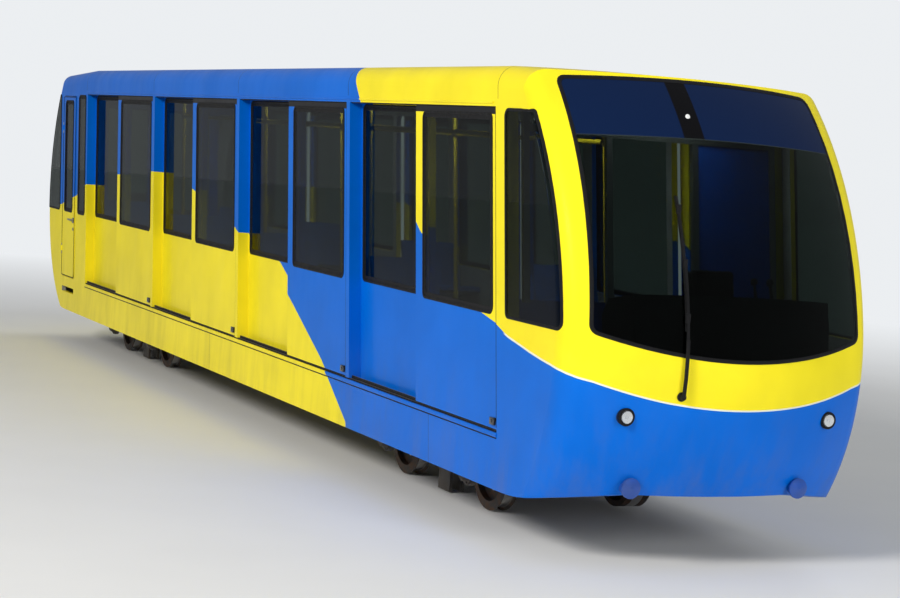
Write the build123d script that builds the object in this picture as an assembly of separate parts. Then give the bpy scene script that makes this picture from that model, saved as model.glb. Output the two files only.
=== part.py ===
from build123d import *
import os
from math import acos, asin, cos, radians, sin, sqrt, tan

# Frame: +X points downhill along the track, +Z is square to the track, and the wheels stand on z = 0.
# Uprights are plumb, so they lean uphill. A station is the x of a plumb line where it meets the belt.

# Track and slope
SLOPE_DEG = 10.4
GAUGE = 1000
RAIL_HEAD = 60
FLANGE = 26
TREAD_R = 250

# Body levels, from the floor up
SKIRT_Z = 363
NOSE_LOW_Z = 478
FRAME_Z = 600
FRAME_H = 100
SILL_Z = 743
FLOOR_Z = 760
BELT_Z = 1488
CANTRAIL_Z = 2848
CROWN_Z = 3150

# Body widths
HALF_WIDTH = 1130
STEP = 100
WALL = 50
SKIN = 45
PANEL = 30
GLASS = 8
FIT = 0.3

# Body lengths
BAY = 2680
BAYS = 4
NOSE_DOWN = 1260
NOSE_UP = 2050
POST = 68
PILLAR = 40

# Roof arch and nose outline
ROOF_R = 20000
ROOF_CORNER_R = 150
BROW_DEG = 2.6
NOSE_R = 2293
NOSE_CORNER_R = 200
RAKE_R_DOWN = 2700
RAKE_R_UP = 2000
RAKE_LIFT_DOWN = 100
TUCK_R = 1600
LIP_R = 2200
LIP_BACK = 90
PORTAL = 40

# Side windows of the noses
FRONT_POST = 346
DOWN_QUARTER = 140
UP_WINDOW = 310
UP_PILLAR = 130
CAB_DOOR = 560
CAB_PILLAR = 140
PANE_CORNER = 45
PANE_HEAD = 14

# Windscreen, seen from the front
SCREEN_HALF_BOTTOM = 990
SCREEN_HALF_TOP = 955
SCREEN_CORNER_Z = 1498
SCREEN_DIP = 140
SCREEN_TOP_Z = 3064
SCREEN_CROWN = 35
SCREEN_CORNER = 60

# Sliding leaves and their gear
LEAF = 42
LEAF_INSET = 8
LEAF_GAP = 8
LEAF_STILE = 60
LEAF_FRONT = 125
LEAF_HEAD = 40
GUIDE_T = 12
GUIDE_H = 22
GUIDE_PLAY = 6
TRACK_Z = 2870
TRACK_W = 20
TRACK_H = 20
ROLLER_R = 20
ROLLER_W = 13
HANGER_T = 8
HANGER_W = 70
HANGER_FROM_EDGE = 220
CHANNEL_Z = 2960
FASCIA = 40

# Cab door
CAB_PROUD = 6
CAB_LEAF = 40
CAB_GAP = 7
CAB_STILE = 95
CAB_TOP_DROP = 30
CAB_GLASS_DROP = 80
HINGE_PIN_R = 8
HINGE_R = 14
HINGE_L = 60
HINGE_LEVELS = (1050, 2450)
HANDLE_Z = 1400
FOOTSTEP_Z = 563
FOOTSTEP_H = 60

# Underframe and running gear
SILL_W = 80
BEAM_Y = 450
BEAM_W = 120
CROSS_W = 90
BOGIE_FROM_END = 3035
WHEELBASE = 1500
AXLE_R = 60
JOURNAL_R = 45
JOURNAL_Y = 790
SIDE_Y = 740
SIDE_T = 44
WHEEL_W = 72
FLANGE_T = 24
ROLLER_TREAD = 180
WEB_T = 26
HUB_R = 95
RIM_T = 42
AXLEBOX_R = 100
BOLSTER_W = 280
BOLSTER_Z = 400
BOLSTER_H = 110
PIVOT_R = 60
BEARER_Y = 620
BEARER_W = 110

# Buffers, rope socket and lamps
BUFFER_Z = 532
BUFFER_Y = 620
BUFFER_PROUD = {1: 75, -1: 145}
BUFFER_HEAD_R = 66
BUFFER_SHANK_R = 44
BUFFER_ROD_R = 34
BUFFER_COLLAR = 25
BUFFER_DOME_R = 160
LAMP_Y = 744
LAMP_Z = 991
LAMP_R = 52
LAMP_PROUD = 22
SOCKET_FROM_END = 1340
SOCKET_PIN_R = 32
SOCKET_Z = 470
SOCKET_EYE_R = 65
SOCKET_BACK = 120
SOCKET_BACK_T = 60

# Cabin fittings
DECK = 30
CABIN_HALF = HALF_WIDTH - STEP - WALL
SEAT_W = 560
SEAT_H = 440
SEAT_D = 430
SEAT_BACK = 470
SEAT_SHELL = 32
SEAT_LEG = 90
SEAT_LEAN_DEG = 8
SEAT_FROM_RISER = 220
POLE_FROM_RISER = 50
POLE_R = 18
POLE_Y = 400
RAIL_Z = 2680
PARTITION = 28
PARAPET_Z = 1600
GANGWAY = 640
PARTITION_HEAD_Z = 2740
DESK_HALF = 720
DESK_REACH = 560
DESK_H = {1: 800, -1: 600}
DESK_SLOPE = 90
WIPER_Y = 420
WIPER_W = 18
WIPER_Z = (1540, 2360)
WIPER_LIFT = 5
WIPER_DEPTH = 18
WIPER_PIVOT_Z = 1135
WIPER_PIVOT_R = 14

LEAN = tan(radians(SLOPE_DEG))
SIN_A = sin(radians(SLOPE_DEG))
COS_A = cos(radians(SLOPE_DEG))
AXLE_Z = FLANGE + TREAD_R
FRAME_TOP = FRAME_Z + FRAME_H
WALL_OUT = HALF_WIDTH - STEP
LEAF_OUT = HALF_WIDTH - LEAF_INSET
LEAF_IN = LEAF_OUT - LEAF
CHANNEL_OUT = HALF_WIDTH - FASCIA
WALL_TOP = CHANNEL_Z - PORTAL

# Each nose reaches furthest where its arc stands upright in the row frame.
UP_REACH = RAKE_R_UP * (1 - COS_A)
DOWN_REACH = TUCK_R * (1 - COS_A) - RAKE_LIFT_DOWN * LEAN
HALF_LENGTH = (UP_REACH + NOSE_UP + BAYS * BAY + NOSE_DOWN + DOWN_REACH) / 2
FAR = 4 * HALF_LENGTH
BOGIE_X = HALF_LENGTH - BOGIE_FROM_END
SOCKET_X = SOCKET_FROM_END - HALF_LENGTH
TIP_UP = UP_REACH - HALF_LENGTH
POST_1 = TIP_UP + NOSE_UP
POSTS = [POST_1 + BAY * i for i in range(BAYS + 1)]
TIP_DOWN = POSTS[-1] + NOSE_DOWN
TIPS = {1: TIP_DOWN, -1: TIP_UP}
RAKES = {1: (BELT_Z + RAKE_LIFT_DOWN, RAKE_R_DOWN), -1: (BELT_Z, RAKE_R_UP)}
NOSE_ENDS = {1: POSTS[-1], -1: POST_1 + POST}
MIDS = [post + BAY / 2 for post in POSTS[:-1]]


def at(station, z):
    """x of the plumb line through a station, at height z."""
    return station - (z - BELT_Z) * LEAN


def arc_centre(end, z, radius):
    """Centre of an arc that leaves the nose's plumb line at height z and bends inboard."""
    return (at(TIPS[end], z) - end * radius * COS_A, z - end * radius * SIN_A)


def nose_x(end, z):
    """x of the nose's centre line at height z: tucked in below its plumb point, raked above it."""
    plumb_z, rake_r = RAKES[end]
    radius = rake_r if z > plumb_z else TUCK_R
    x, level = arc_centre(end, plumb_z, radius)
    return x + end * sqrt(radius ** 2 - (z - level) ** 2)


def bulge(y):
    """How far the nose surface lies behind its centre line at distance y."""
    return NOSE_R - sqrt(NOSE_R ** 2 - y ** 2)


def level_at(station, z, y=0):
    """Place with its X level, pointing downhill, and its Z plumb."""
    return Location((at(station, z), y, z), (0, -SLOPE_DEG, 0))


def slab(face, y0, y1):
    """Extrude a face drawn in x and z from y0 to y1."""
    plane = Plane(origin=(0, y1, 0), x_dir=(1, 0, 0), z_dir=(0, -1, 0))
    return extrude(plane * face, amount=y1 - y0, dir=(0, -1, 0))


def along(face, x0, x1):
    """Extrude a face drawn in y and z from x0 to x1."""
    plane = Plane(origin=(x0, 0, 0), x_dir=(0, 1, 0), z_dir=(1, 0, 0))
    return extrude(plane * face, amount=x1 - x0, dir=(1, 0, 0))


def block(x0, x1, y0, y1, z0, z1):
    """Box between its lowest and highest corners."""
    box = Box(x1 - x0, y1 - y0, z1 - z0, align=Align.MIN)
    return box.moved(Location((x0, y0, z0)))


def polygon(*points):
    """Flat face through the points."""
    return make_face(Polyline(*points, close=True))


def plumb_panel(s0, s1, z0, z1, radius=0):
    """Face between two plumb edges at stations s0 and s1, and two edges parallel to the track."""
    face = polygon((at(s0, z0), z0), (at(s1, z0), z0), (at(s1, z1), z1), (at(s0, z1), z1))
    if radius:
        face = fillet(face.vertices(), radius)
    return face


def between(s0, s1):
    """All that lies between the plumb planes of two stations."""
    return slab(plumb_panel(s0, s1, -HALF_WIDTH, 2 * CROWN_Z), -2 * HALF_WIDTH, 2 * HALF_WIDTH)


def outboard_of(end, station):
    """All that lies between a plumb plane and the nearer end of the car."""
    return between(*sorted((station, end * FAR)))


def crowned(half, crown_r, corner_r, inset, depth):
    """Face with straight sides, rounded corners and a crowned top at v = 0, moved in by inset."""
    across = half - corner_r
    drop = crown_r - sqrt((crown_r - corner_r) ** 2 - across ** 2)
    turn = crown_r / (crown_r - corner_r)
    scale = (crown_r - inset) / crown_r
    top_u = across * turn * scale
    top_v = (crown_r - drop) * turn * scale - crown_r
    side = half - inset
    lean = asin(across / (crown_r - corner_r)) / 2
    mid = (across + (corner_r - inset) * sin(radians(45) + lean),
           -drop + (corner_r - inset) * cos(radians(45) + lean))
    outline = [
        Line((-side, -depth), (side, -depth)),
        Line((side, -depth), (side, -drop)),
        ThreePointArc((side, -drop), mid, (top_u, top_v)),
        ThreePointArc((top_u, top_v), (0, -inset), (-top_u, top_v)),
        ThreePointArc((-top_u, top_v), (-mid[0], mid[1]), (-side, -drop)),
        Line((-side, -drop), (-side, -depth)),
    ]
    return make_face(outline)


def body_section(inset):
    """Cross-section of the body under its roof arch, moved in by inset."""
    face = crowned(HALF_WIDTH, ROOF_R, ROOF_CORNER_R, inset, CROWN_Z)
    return face.moved(Location((0, CROWN_Z)))


def over_roof(end, inset):
    """All that lies over a nose's roof, which falls from the portal to the brow, moved in by inset."""
    drop = ROOF_R - sqrt((ROOF_R - ROOF_CORNER_R) ** 2 - (HALF_WIDTH - ROOF_CORNER_R) ** 2)
    space = Rectangle(4 * HALF_WIDTH, CROWN_Z, align=(Align.CENTER, Align.MIN))
    space = space.moved(Location((0, CROWN_Z - drop)))
    slope = tan(radians(BROW_DEG))
    start = at(NOSE_ENDS[end], CROWN_Z) - end * 4 * STEP
    plane = Plane(origin=(start, 0, 4 * STEP * slope), x_dir=(0, 1, 0), z_dir=(1, 0, 0))
    return extrude(plane * (space - body_section(inset)), amount=FAR, dir=(end, 0, -slope))


def nose_volume(end, inset):
    """Solid under the nose surface: its plan outline carried up the tucked and raked line."""
    plan = crowned(HALF_WIDTH, NOSE_R, NOSE_CORNER_R, inset, NOSE_UP + STEP)
    low = Vector(nose_x(end, SKIRT_Z), 0, SKIRT_Z)
    plumb_z = RAKES[end][0]
    middle = Vector(at(TIPS[end], plumb_z), 0, plumb_z)
    high = Vector(nose_x(end, CROWN_Z + STEP), 0, CROWN_Z + STEP)
    plumb_up = Vector(-SIN_A, 0, COS_A)
    path = Wire([
        Edge.make_tangent_arc(middle, -plumb_up, low).reversed(),
        Edge.make_tangent_arc(middle, plumb_up, high),
    ])
    face = plan.faces()[0].moved(Location(low, (0, 0, -90 * end)))
    return Solid.sweep(face, path, mode=Vector(0, 0, 1))


def rake_edge(end, back, z0, z1):
    """Edge of a side window that follows the nose line at a set distance behind it."""
    middle = (z0 + z1) / 2
    points = [(nose_x(end, z) - end * back, z) for z in (z0, middle, z1)]
    return ThreePointArc(*points)


def front_window(end, station, gap=0):
    """Side window of a nose: plumb at the back, raked at the front."""
    z0 = BELT_Z + gap
    z1 = CANTRAIL_Z - PANE_HEAD - gap
    front = rake_edge(end, FRONT_POST + gap, z0, z1)
    back = station + end * gap
    low = (at(back, z0), z0)
    high = (at(back, z1), z1)
    face = make_face([Line(low, front @ 0), front, Line(front @ 1, high), Line(high, low)])
    return fillet(face.vertices(), PANE_CORNER - gap)


def screen_face(gap=0):
    """Windscreen seen from the front: dipped below, crowned above."""
    bottom = SCREEN_HALF_BOTTOM - gap
    top = SCREEN_HALF_TOP - gap
    low = SCREEN_CORNER_Z + gap
    high = SCREEN_TOP_Z - gap
    face = make_face([
        ThreePointArc((-bottom, low), (0, low - SCREEN_DIP), (bottom, low)),
        Line((bottom, low), (top, high)),
        ThreePointArc((top, high), (0, high + SCREEN_CROWN), (-top, high)),
        Line((-top, high), (-bottom, low)),
    ])
    return fillet(face.vertices(), SCREEN_CORNER - gap)


CAB_BACK = POST_1 - UP_WINDOW - UP_PILLAR
CAB_FRONT = CAB_BACK - CAB_DOOR
CAB_QUARTER = CAB_FRONT - CAB_PILLAR
QUARTERS = {1: POSTS[-1] + DOWN_QUARTER, -1: CAB_QUARTER}


def both(solid):
    """A piece and its mirror image on the other side of the car."""
    return [solid, mirror(solid, about=Plane.XZ)]


def hinge_place(z):
    """Place on the cab door's hinge line, with Z along the line."""
    return level_at(CAB_FRONT - CAB_GAP / 2, z, HALF_WIDTH + CAB_PROUD)


def pin(radius, length, z):
    """Cylinder centred on the hinge line at height z."""
    return Cylinder(radius, length).moved(hinge_place(z))


def up_side_window(gap=0):
    """Fixed window between the cab door and the first post."""
    face = plumb_panel(POST_1 - UP_WINDOW + gap, POST_1 - gap, BELT_Z + gap,
                       CANTRAIL_Z - PANE_HEAD - gap)
    return fillet(face.vertices(), PANE_CORNER - gap)


def cab_leaf_face(gap=0):
    """Outline of the cab door leaf."""
    return plumb_panel(CAB_FRONT + gap, CAB_BACK - gap, SILL_Z + gap, CANTRAIL_Z - CAB_TOP_DROP - gap,
                       PANE_CORNER)


def nose_body(end, inset, station):
    """Nose volume under the roof arch, from the plumb plane of a station to its tip."""
    return (nose_volume(end, inset) & outboard_of(end, station)) - over_roof(end, inset)


def cross_hole(end, radius, y, z):
    """Cylinder along the track for a hole through the nose's skin."""
    x = nose_x(end, z) - end * bulge(y)
    return Cylinder(radius, 3 * STEP, rotation=(45, 90, 0)).moved(Location((x, y, z)))


def lip_face(end):
    """What the nose's lower edge leaves free as it sweeps up from the skirt's level to the front."""
    turn = acos(1 - (NOSE_LOW_Z - SKIRT_Z) / LIP_R)
    front = nose_x(end, NOSE_LOW_Z) - end * LIP_BACK
    start = front - end * LIP_R * sin(turn)
    points = [(start + end * LIP_R * sin(part), SKIRT_Z + LIP_R * (1 - cos(part)))
              for part in (0, turn / 2, turn)]
    far = end * FAR
    return make_face([
        ThreePointArc(*points),
        Polyline(points[-1], (far, NOSE_LOW_Z), (far, SKIRT_Z - STEP), (start, SKIRT_Z - STEP), points[0]),
    ])


def nose_openings(end):
    """Solids to take out of a nose shell: windows, lips, and holes for lamps, buffers and the wiper."""
    cuts = [slab(lip_face(end), -2 * HALF_WIDTH, 2 * HALF_WIDTH)]
    cuts += both(slab(front_window(end, QUARTERS[end]), CABIN_HALF, HALF_WIDTH + STEP))
    cuts += both(cross_hole(end, LAMP_R + FIT, LAMP_Y, LAMP_Z))
    cuts += both(cross_hole(end, BUFFER_SHANK_R + FIT, BUFFER_Y, BUFFER_Z))
    cuts.append(cross_hole(end, WIPER_PIVOT_R + FIT, -end * WIPER_Y, WIPER_PIVOT_Z))
    return cuts


def cab_openings():
    """Solids to take out of the uphill nose: cab doorways, side windows, footsteps and hinge pockets."""
    faces = [up_side_window(), cab_leaf_face(-CAB_GAP)]
    cuts = [side for face in faces for side in both(slab(face, CABIN_HALF, HALF_WIDTH + STEP))]
    step = plumb_panel(CAB_FRONT + 2 * CAB_GAP, CAB_BACK - 2 * CAB_GAP, FOOTSTEP_Z, FOOTSTEP_Z + FOOTSTEP_H)
    cuts += both(slab(step, HALF_WIDTH - SKIN - PANEL, HALF_WIDTH + STEP))
    for z in HINGE_LEVELS:
        cuts += both(pin(HINGE_R + CAB_GAP - 1, 2 * HINGE_L, z))
    return cuts


def cab_hinges():
    """Pins of the cab doors with a knuckle at each end."""
    pieces = []
    for z in HINGE_LEVELS:
        knuckles = pin(HINGE_R, 2 * HINGE_L, z) - pin(HINGE_R + 1, HINGE_L + 2, z)
        pieces += both(knuckles + pin(HINGE_PIN_R, 2 * HINGE_L, z))
    return pieces


def nose(end):
    """Nose shell with its portal frame and every opening; the uphill one carries the cab doorways."""
    back = NOSE_ENDS[end]
    shell = nose_body(end, 0, back) - nose_body(end, SKIN, back + end * PORTAL)
    tunnel = along(body_section(SKIN) & Rectangle(2 * CABIN_HALF, 3 * CROWN_Z), -FAR, FAR)
    shell -= tunnel & between(back - PORTAL - SKIN, back + PORTAL + SKIN)
    skin = nose_volume(end, 0) - nose_volume(end, SKIN)
    shell -= skin & along(screen_face(), *sorted((back, end * FAR)))
    shell -= nose_openings(end)
    if end < 0:
        shell -= cab_openings()
        shell += cab_hinges()
    return shell


def windscreen(end):
    """Curved pane flush with the nose surface."""
    pane = nose_volume(end, 0) - nose_volume(end, GLASS)
    return pane & along(screen_face(FIT), *sorted((NOSE_ENDS[end], end * FAR)))


def roof():
    """Roof arch with its cant rails and the channels that the door gear runs in."""
    section = body_section(0) - Rectangle(3 * HALF_WIDTH, 2 * CANTRAIL_Z)
    section -= body_section(SKIN) & Rectangle(2 * CABIN_HALF, 3 * CROWN_Z)
    for side in (-1, 1):
        head = Rectangle(WALL, 2 * WALL_TOP).moved(Location((side * (WALL_OUT - WALL / 2), 0)))
        width = CHANNEL_OUT - WALL_OUT
        channel = Rectangle(width, 2 * CHANNEL_Z).moved(Location((side * (WALL_OUT + width / 2), 0)))
        section = section - head - channel
    return along(section, -FAR, FAR) & between(NOSE_ENDS[-1], NOSE_ENDS[1])


def wall_panes(gap=0):
    """Fixed windows of one side, from the posts to the door pillars."""
    return [plumb_panel(post + POST + PILLAR + gap, mid - PILLAR - gap, BELT_Z + gap,
                        CANTRAIL_Z - PANE_HEAD - gap, PANE_CORNER - gap)
            for post, mid in zip(POSTS, MIDS)]


def side_wall():
    """Recessed wall of the +Y side with its windows, doorways and the posts between the bays."""
    face = plumb_panel(NOSE_ENDS[-1], NOSE_ENDS[1], FRAME_Z, WALL_TOP)
    for pane in wall_panes():
        face -= pane
    for mid, post in zip(MIDS, POSTS[1:]):
        face -= plumb_panel(mid + PILLAR, post - PILLAR, SILL_Z, CANTRAIL_Z - PANE_HEAD, PANE_CORNER)
    wall = slab(face, CABIN_HALF, WALL_OUT)
    for post in POSTS[1:-1]:
        wall += slab(plumb_panel(post, post + POST, SILL_Z, CANTRAIL_Z), WALL_OUT, HALF_WIDTH)
    return wall


def skirt():
    """Lower panel of the +Y side with its top flange."""
    section = Rectangle(PANEL, SILL_Z - GUIDE_T - SKIRT_Z, align=(Align.MAX, Align.MIN))
    section = section.moved(Location((HALF_WIDTH, SKIRT_Z)))
    flange = Rectangle(STEP, GUIDE_T, align=(Align.MAX, Align.MAX))
    section += flange.moved(Location((HALF_WIDTH, SILL_Z - GUIDE_T)))
    return along(section, -FAR, FAR) & between(NOSE_ENDS[-1], NOSE_ENDS[1])


def guide_rails():
    """Sill plate with the bottom guide strips, and the top track of the +Y side."""
    plate = slab(plumb_panel(NOSE_ENDS[-1], NOSE_ENDS[1], SILL_Z - GUIDE_T, SILL_Z), WALL_OUT,
                 HALF_WIDTH - LEAF_INSET)
    middle = LEAF_OUT - LEAF / 2
    for post, following in zip(POSTS, POSTS[1:]):
        strip = plumb_panel(post + POST + LEAF_GAP, following - LEAF_GAP, SILL_Z, SILL_Z + GUIDE_H)
        plate += slab(strip, middle - GUIDE_T / 2, middle + GUIDE_T / 2)
    track = slab(plumb_panel(NOSE_ENDS[-1], NOSE_ENDS[1], TRACK_Z, TRACK_Z + TRACK_H), WALL_OUT,
                 WALL_OUT + TRACK_W)
    return [plate, track]


def leaf_pane(number, gap=0):
    """Window of a sliding leaf."""
    return plumb_panel(MIDS[number] + LEAF_FRONT + gap, POSTS[number + 1] - LEAF_GAP - LEAF_STILE - gap,
                       BELT_Z + gap, CANTRAIL_Z - LEAF_GAP - LEAF_HEAD - gap, PANE_CORNER - gap)


def leaf(number):
    """Sliding leaf of the +Y side with its two hangers and rollers."""
    front = MIDS[number]
    back = POSTS[number + 1] - LEAF_GAP
    outline = plumb_panel(front, back, SILL_Z + LEAF_GAP, CANTRAIL_Z - LEAF_GAP, LEAF_GAP)
    door = slab(outline - leaf_pane(number), LEAF_IN, LEAF_OUT)
    middle = LEAF_OUT - LEAF / 2
    groove = block(at(front, 0) - BAY, at(back, 0) + BAY, middle - GUIDE_T / 2 - GUIDE_PLAY,
                   middle + GUIDE_T / 2 + GUIDE_PLAY, SILL_Z, SILL_Z + GUIDE_H + GUIDE_PLAY)
    door -= groove
    roller_z = TRACK_Z + TRACK_H + FIT + ROLLER_R
    plate_y = WALL_OUT + TRACK_W + ROLLER_W / 2
    for station in (front + HANGER_FROM_EDGE, back - HANGER_FROM_EDGE):
        x = at(station, roller_z)
        foot = (CANTRAIL_Z - LEAF_GAP - LEAF_HEAD - GUIDE_PLAY, CANTRAIL_Z - 2 * LEAF_GAP)
        door += block(x - HANGER_W / 2, x + HANGER_W / 2, plate_y, plate_y + HANGER_T, foot[0],
                      roller_z + ROLLER_R / 2)
        door += block(x - HANGER_W / 2, x + HANGER_W / 2, plate_y, LEAF_IN, *foot)
        roller = Cylinder(ROLLER_R, ROLLER_W, rotation=(90, 0, 0))
        axle = Cylinder(ROLLER_R / 3, plate_y - WALL_OUT - ROLLER_W, rotation=(90, 0, 0))
        wheel_y = WALL_OUT + TRACK_W - ROLLER_W / 2
        door += roller.moved(Location((x, wheel_y, roller_z)))
        door += axle.moved(Location((x, (wheel_y + plate_y) / 2, roller_z)))
    return door


def cab_glass_face(gap=0):
    """Window of the cab door."""
    return plumb_panel(CAB_FRONT + CAB_STILE + gap, CAB_BACK - CAB_STILE - gap, BELT_Z + gap,
                       CANTRAIL_Z - CAB_GLASS_DROP - gap, PANE_CORNER - gap)


def cab_door():
    """Hinged cab door leaf of the +Y side with its knuckles and lever handle."""
    outside = HALF_WIDTH + CAB_PROUD
    door = slab(cab_leaf_face() - cab_glass_face(), outside - CAB_LEAF, outside)
    for z in HINGE_LEVELS:
        door -= pin(HINGE_R + 2, 2 * HINGE_L + 2 * CAB_GAP, z)
        arm = Box(2.5 * HINGE_R, HINGE_R, HINGE_L, align=(Align.MIN, Align.MAX, Align.CENTER))
        door += arm.moved(hinge_place(z))
        door += pin(HINGE_R, HINGE_L, z)
        door -= pin(HINGE_PIN_R + FIT, HINGE_L + CAB_GAP, z)
    x = at(CAB_BACK - CAB_STILE / 2, HANDLE_Z)
    rose = block(x - PANEL, x + PANEL, outside, outside + CAB_PROUD, HANDLE_Z - PANEL, HANDLE_Z + PANEL)
    lever = block(x - 2 * CAB_STILE, x + PANEL / 2, outside + CAB_PROUD, outside + 4 * CAB_PROUD,
                  HANDLE_Z - CAB_PROUD, HANDLE_Z + 2 * CAB_PROUD)
    return door + rose + fillet(lever.edges().filter_by(Axis.Y), CAB_PROUD)


def fixed_glass():
    """Flat fixed panes of the +Y side and the side panes of the noses."""
    panes = [slab(face, WALL_OUT - GLASS - 4, WALL_OUT - 4) for face in wall_panes(FIT)]
    for end in (1, -1):
        skin = nose_volume(end, GLASS / 4) - nose_volume(end, GLASS * 1.25)
        panes.append(skin & slab(front_window(end, QUARTERS[end], FIT), CABIN_HALF, HALF_WIDTH))
    panes.append(slab(up_side_window(FIT), HALF_WIDTH - GLASS - 2, HALF_WIDTH - 2))
    return panes


def deck_steps():
    """Stations where each level step of the deck starts, from the uphill nose to the downhill one."""
    half = BAY / 2
    return [POST_1 + half * count for count in range(-2, 2 * BAYS + 1)]


def on_step(station, run=0):
    """Level place on the step that starts at a station, a level distance downhill of its riser."""
    x = at(station, FLOOR_Z) + run * COS_A
    return Location((x, 0, FLOOR_Z + run * SIN_A), (0, -SLOPE_DEG, 0))


def inside_noses(solid):
    """Trim a solid's ends to the inside of the nose shells."""
    ends = [solid & outboard_of(end, NOSE_ENDS[end]) & nose_volume(end, SKIN + FIT) for end in (1, -1)]
    return (solid & between(NOSE_ENDS[-1], NOSE_ENDS[1])) + ends[0] + ends[1]


def floor_deck():
    """Folded deck: a level tread for each half bay, with plumb risers between."""
    stations = deck_steps()
    top = []
    for start in stations:
        run = BAY / 2 * COS_A
        foot = at(start, FLOOR_Z)
        top += [(foot, FLOOR_Z), (foot + run * COS_A, FLOOR_Z + run * SIN_A)]
    face = polygon(*top, (top[-1][0], FRAME_TOP), (top[0][0], FRAME_TOP))
    half = DECK / 2
    for low, high in zip(top[::2], top[1::2]):
        face -= polygon((low[0] + half, FRAME_TOP), (high[0] - half + DECK * LEAN, FRAME_TOP),
                        (high[0] - half, high[1] - DECK), (low[0] + half, low[1] - DECK + half * LEAN))
    return inside_noses(slab(face, -CABIN_HALF, CABIN_HALF))


def buffer_head(end):
    """x of the furthest point of a buffer's domed head."""
    return nose_x(end, BUFFER_Z) - end * (bulge(BUFFER_Y) - BUFFER_PROUD[end])


def buffer_back(end):
    """x of the plate that a buffer's housing stands on."""
    return nose_x(end, BUFFER_Z) - end * (bulge(BUFFER_Y + STEP) + 2 * STEP)


def underframe():
    """Ladder frame: side sills, centre beams and cross members, with the bogie centre plates."""
    ends = {end: nose_x(end, FRAME_Z) - end * SKIN for end in (1, -1)}
    face = Rectangle(ends[1] - ends[-1], 2 * CABIN_HALF).moved(Location(((ends[1] + ends[-1]) / 2, 0)))
    rungs = [at(station, FRAME_Z) for station in POSTS + MIDS]
    rungs += [-BOGIE_X, BOGIE_X, SOCKET_X + SOCKET_BACK]
    for end in (1, -1):
        rungs += [ends[end] - end * CROSS_W, buffer_back(end) - end * CROSS_W / 2]
    rungs.sort()
    rows = ((0, BEAM_Y - BEAM_W / 2), (BEAM_Y + BEAM_W / 2, CABIN_HALF - SILL_W))
    for first, second in zip(rungs, rungs[1:]):
        for near, far in rows:
            cell = Rectangle(second - first - CROSS_W, far - near)
            for side in (-1, 1):
                face -= cell.moved(Location(((first + second) / 2, side * (near + far) / 2)))
    frame = extrude(face, amount=FRAME_H, dir=(0, 0, 1)).moved(Location((0, 0, FRAME_Z)))
    seat_z = BOLSTER_Z + BOLSTER_H + FIT
    height = FRAME_TOP - seat_z
    for end in (1, -1):
        x = end * BOGIE_X
        boss = Cylinder(2 * PIVOT_R, height, align=(Align.CENTER, Align.CENTER, Align.MIN))
        frame += boss.moved(Location((x, 0, seat_z)))
        frame -= Cylinder(PIVOT_R + FIT, 4 * FRAME_H).moved(Location((x, 0, FRAME_Z)))
        bearer = block(x - CROSS_W, x + CROSS_W, BEARER_Y - BEARER_W / 2, BEARER_Y + BEARER_W / 2,
                       seat_z, FRAME_TOP)
        back = buffer_back(end)
        plate = block(*sorted((back, back - end * CROSS_W)), BUFFER_Y - STEP, BUFFER_Y + STEP,
                      BUFFER_Z - BUFFER_SHANK_R, FRAME_TOP)
        for piece in both(bearer) + both(plate):
            frame += piece
    return inside_noses(frame)


def buffer(end, side):
    """Buffer housing with its plunger and domed head."""
    back = buffer_back(end)
    length = abs(buffer_head(end) - back)
    housing = length - BUFFER_PROUD[end] + BUFFER_COLLAR
    half_angle = asin(BUFFER_HEAD_R / BUFFER_DOME_R) / 2
    middle = (BUFFER_DOME_R * sin(half_angle), length - BUFFER_DOME_R * (1 - cos(half_angle)))
    dome = BUFFER_DOME_R * (1 - cos(2 * half_angle))
    disc = length - 2 * dome
    profile = make_face([
        Polyline((0, length), (0, 0), (BUFFER_SHANK_R, 0), (BUFFER_SHANK_R, housing),
                 (BUFFER_ROD_R, housing), (BUFFER_ROD_R, disc), (BUFFER_HEAD_R, disc),
                 (BUFFER_HEAD_R, length - dome)),
        ThreePointArc((BUFFER_HEAD_R, length - dome), middle, (0, length)),
    ])
    turned = revolve(profile, axis=Axis.Y)
    return turned.moved(Location((back, side * BUFFER_Y, BUFFER_Z), (0, 0, -90 * end)))


def lamp(end, side):
    """Round lamp set in the nose."""
    x = nose_x(end, LAMP_Z) - end * (bulge(LAMP_Y) + STEP / 2)
    body = Cylinder(LAMP_R, STEP, rotation=(0, 90, 0))
    rim = body.edges().filter_by(GeomType.CIRCLE).sort_by(Axis.X)[-1 if end > 0 else 0]
    body = fillet(rim, LAMP_PROUD / 2).moved(Location((x + end * LAMP_PROUD, side * LAMP_Y, LAMP_Z)))
    return body - nose_volume(end, SKIN - FIT)


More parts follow.
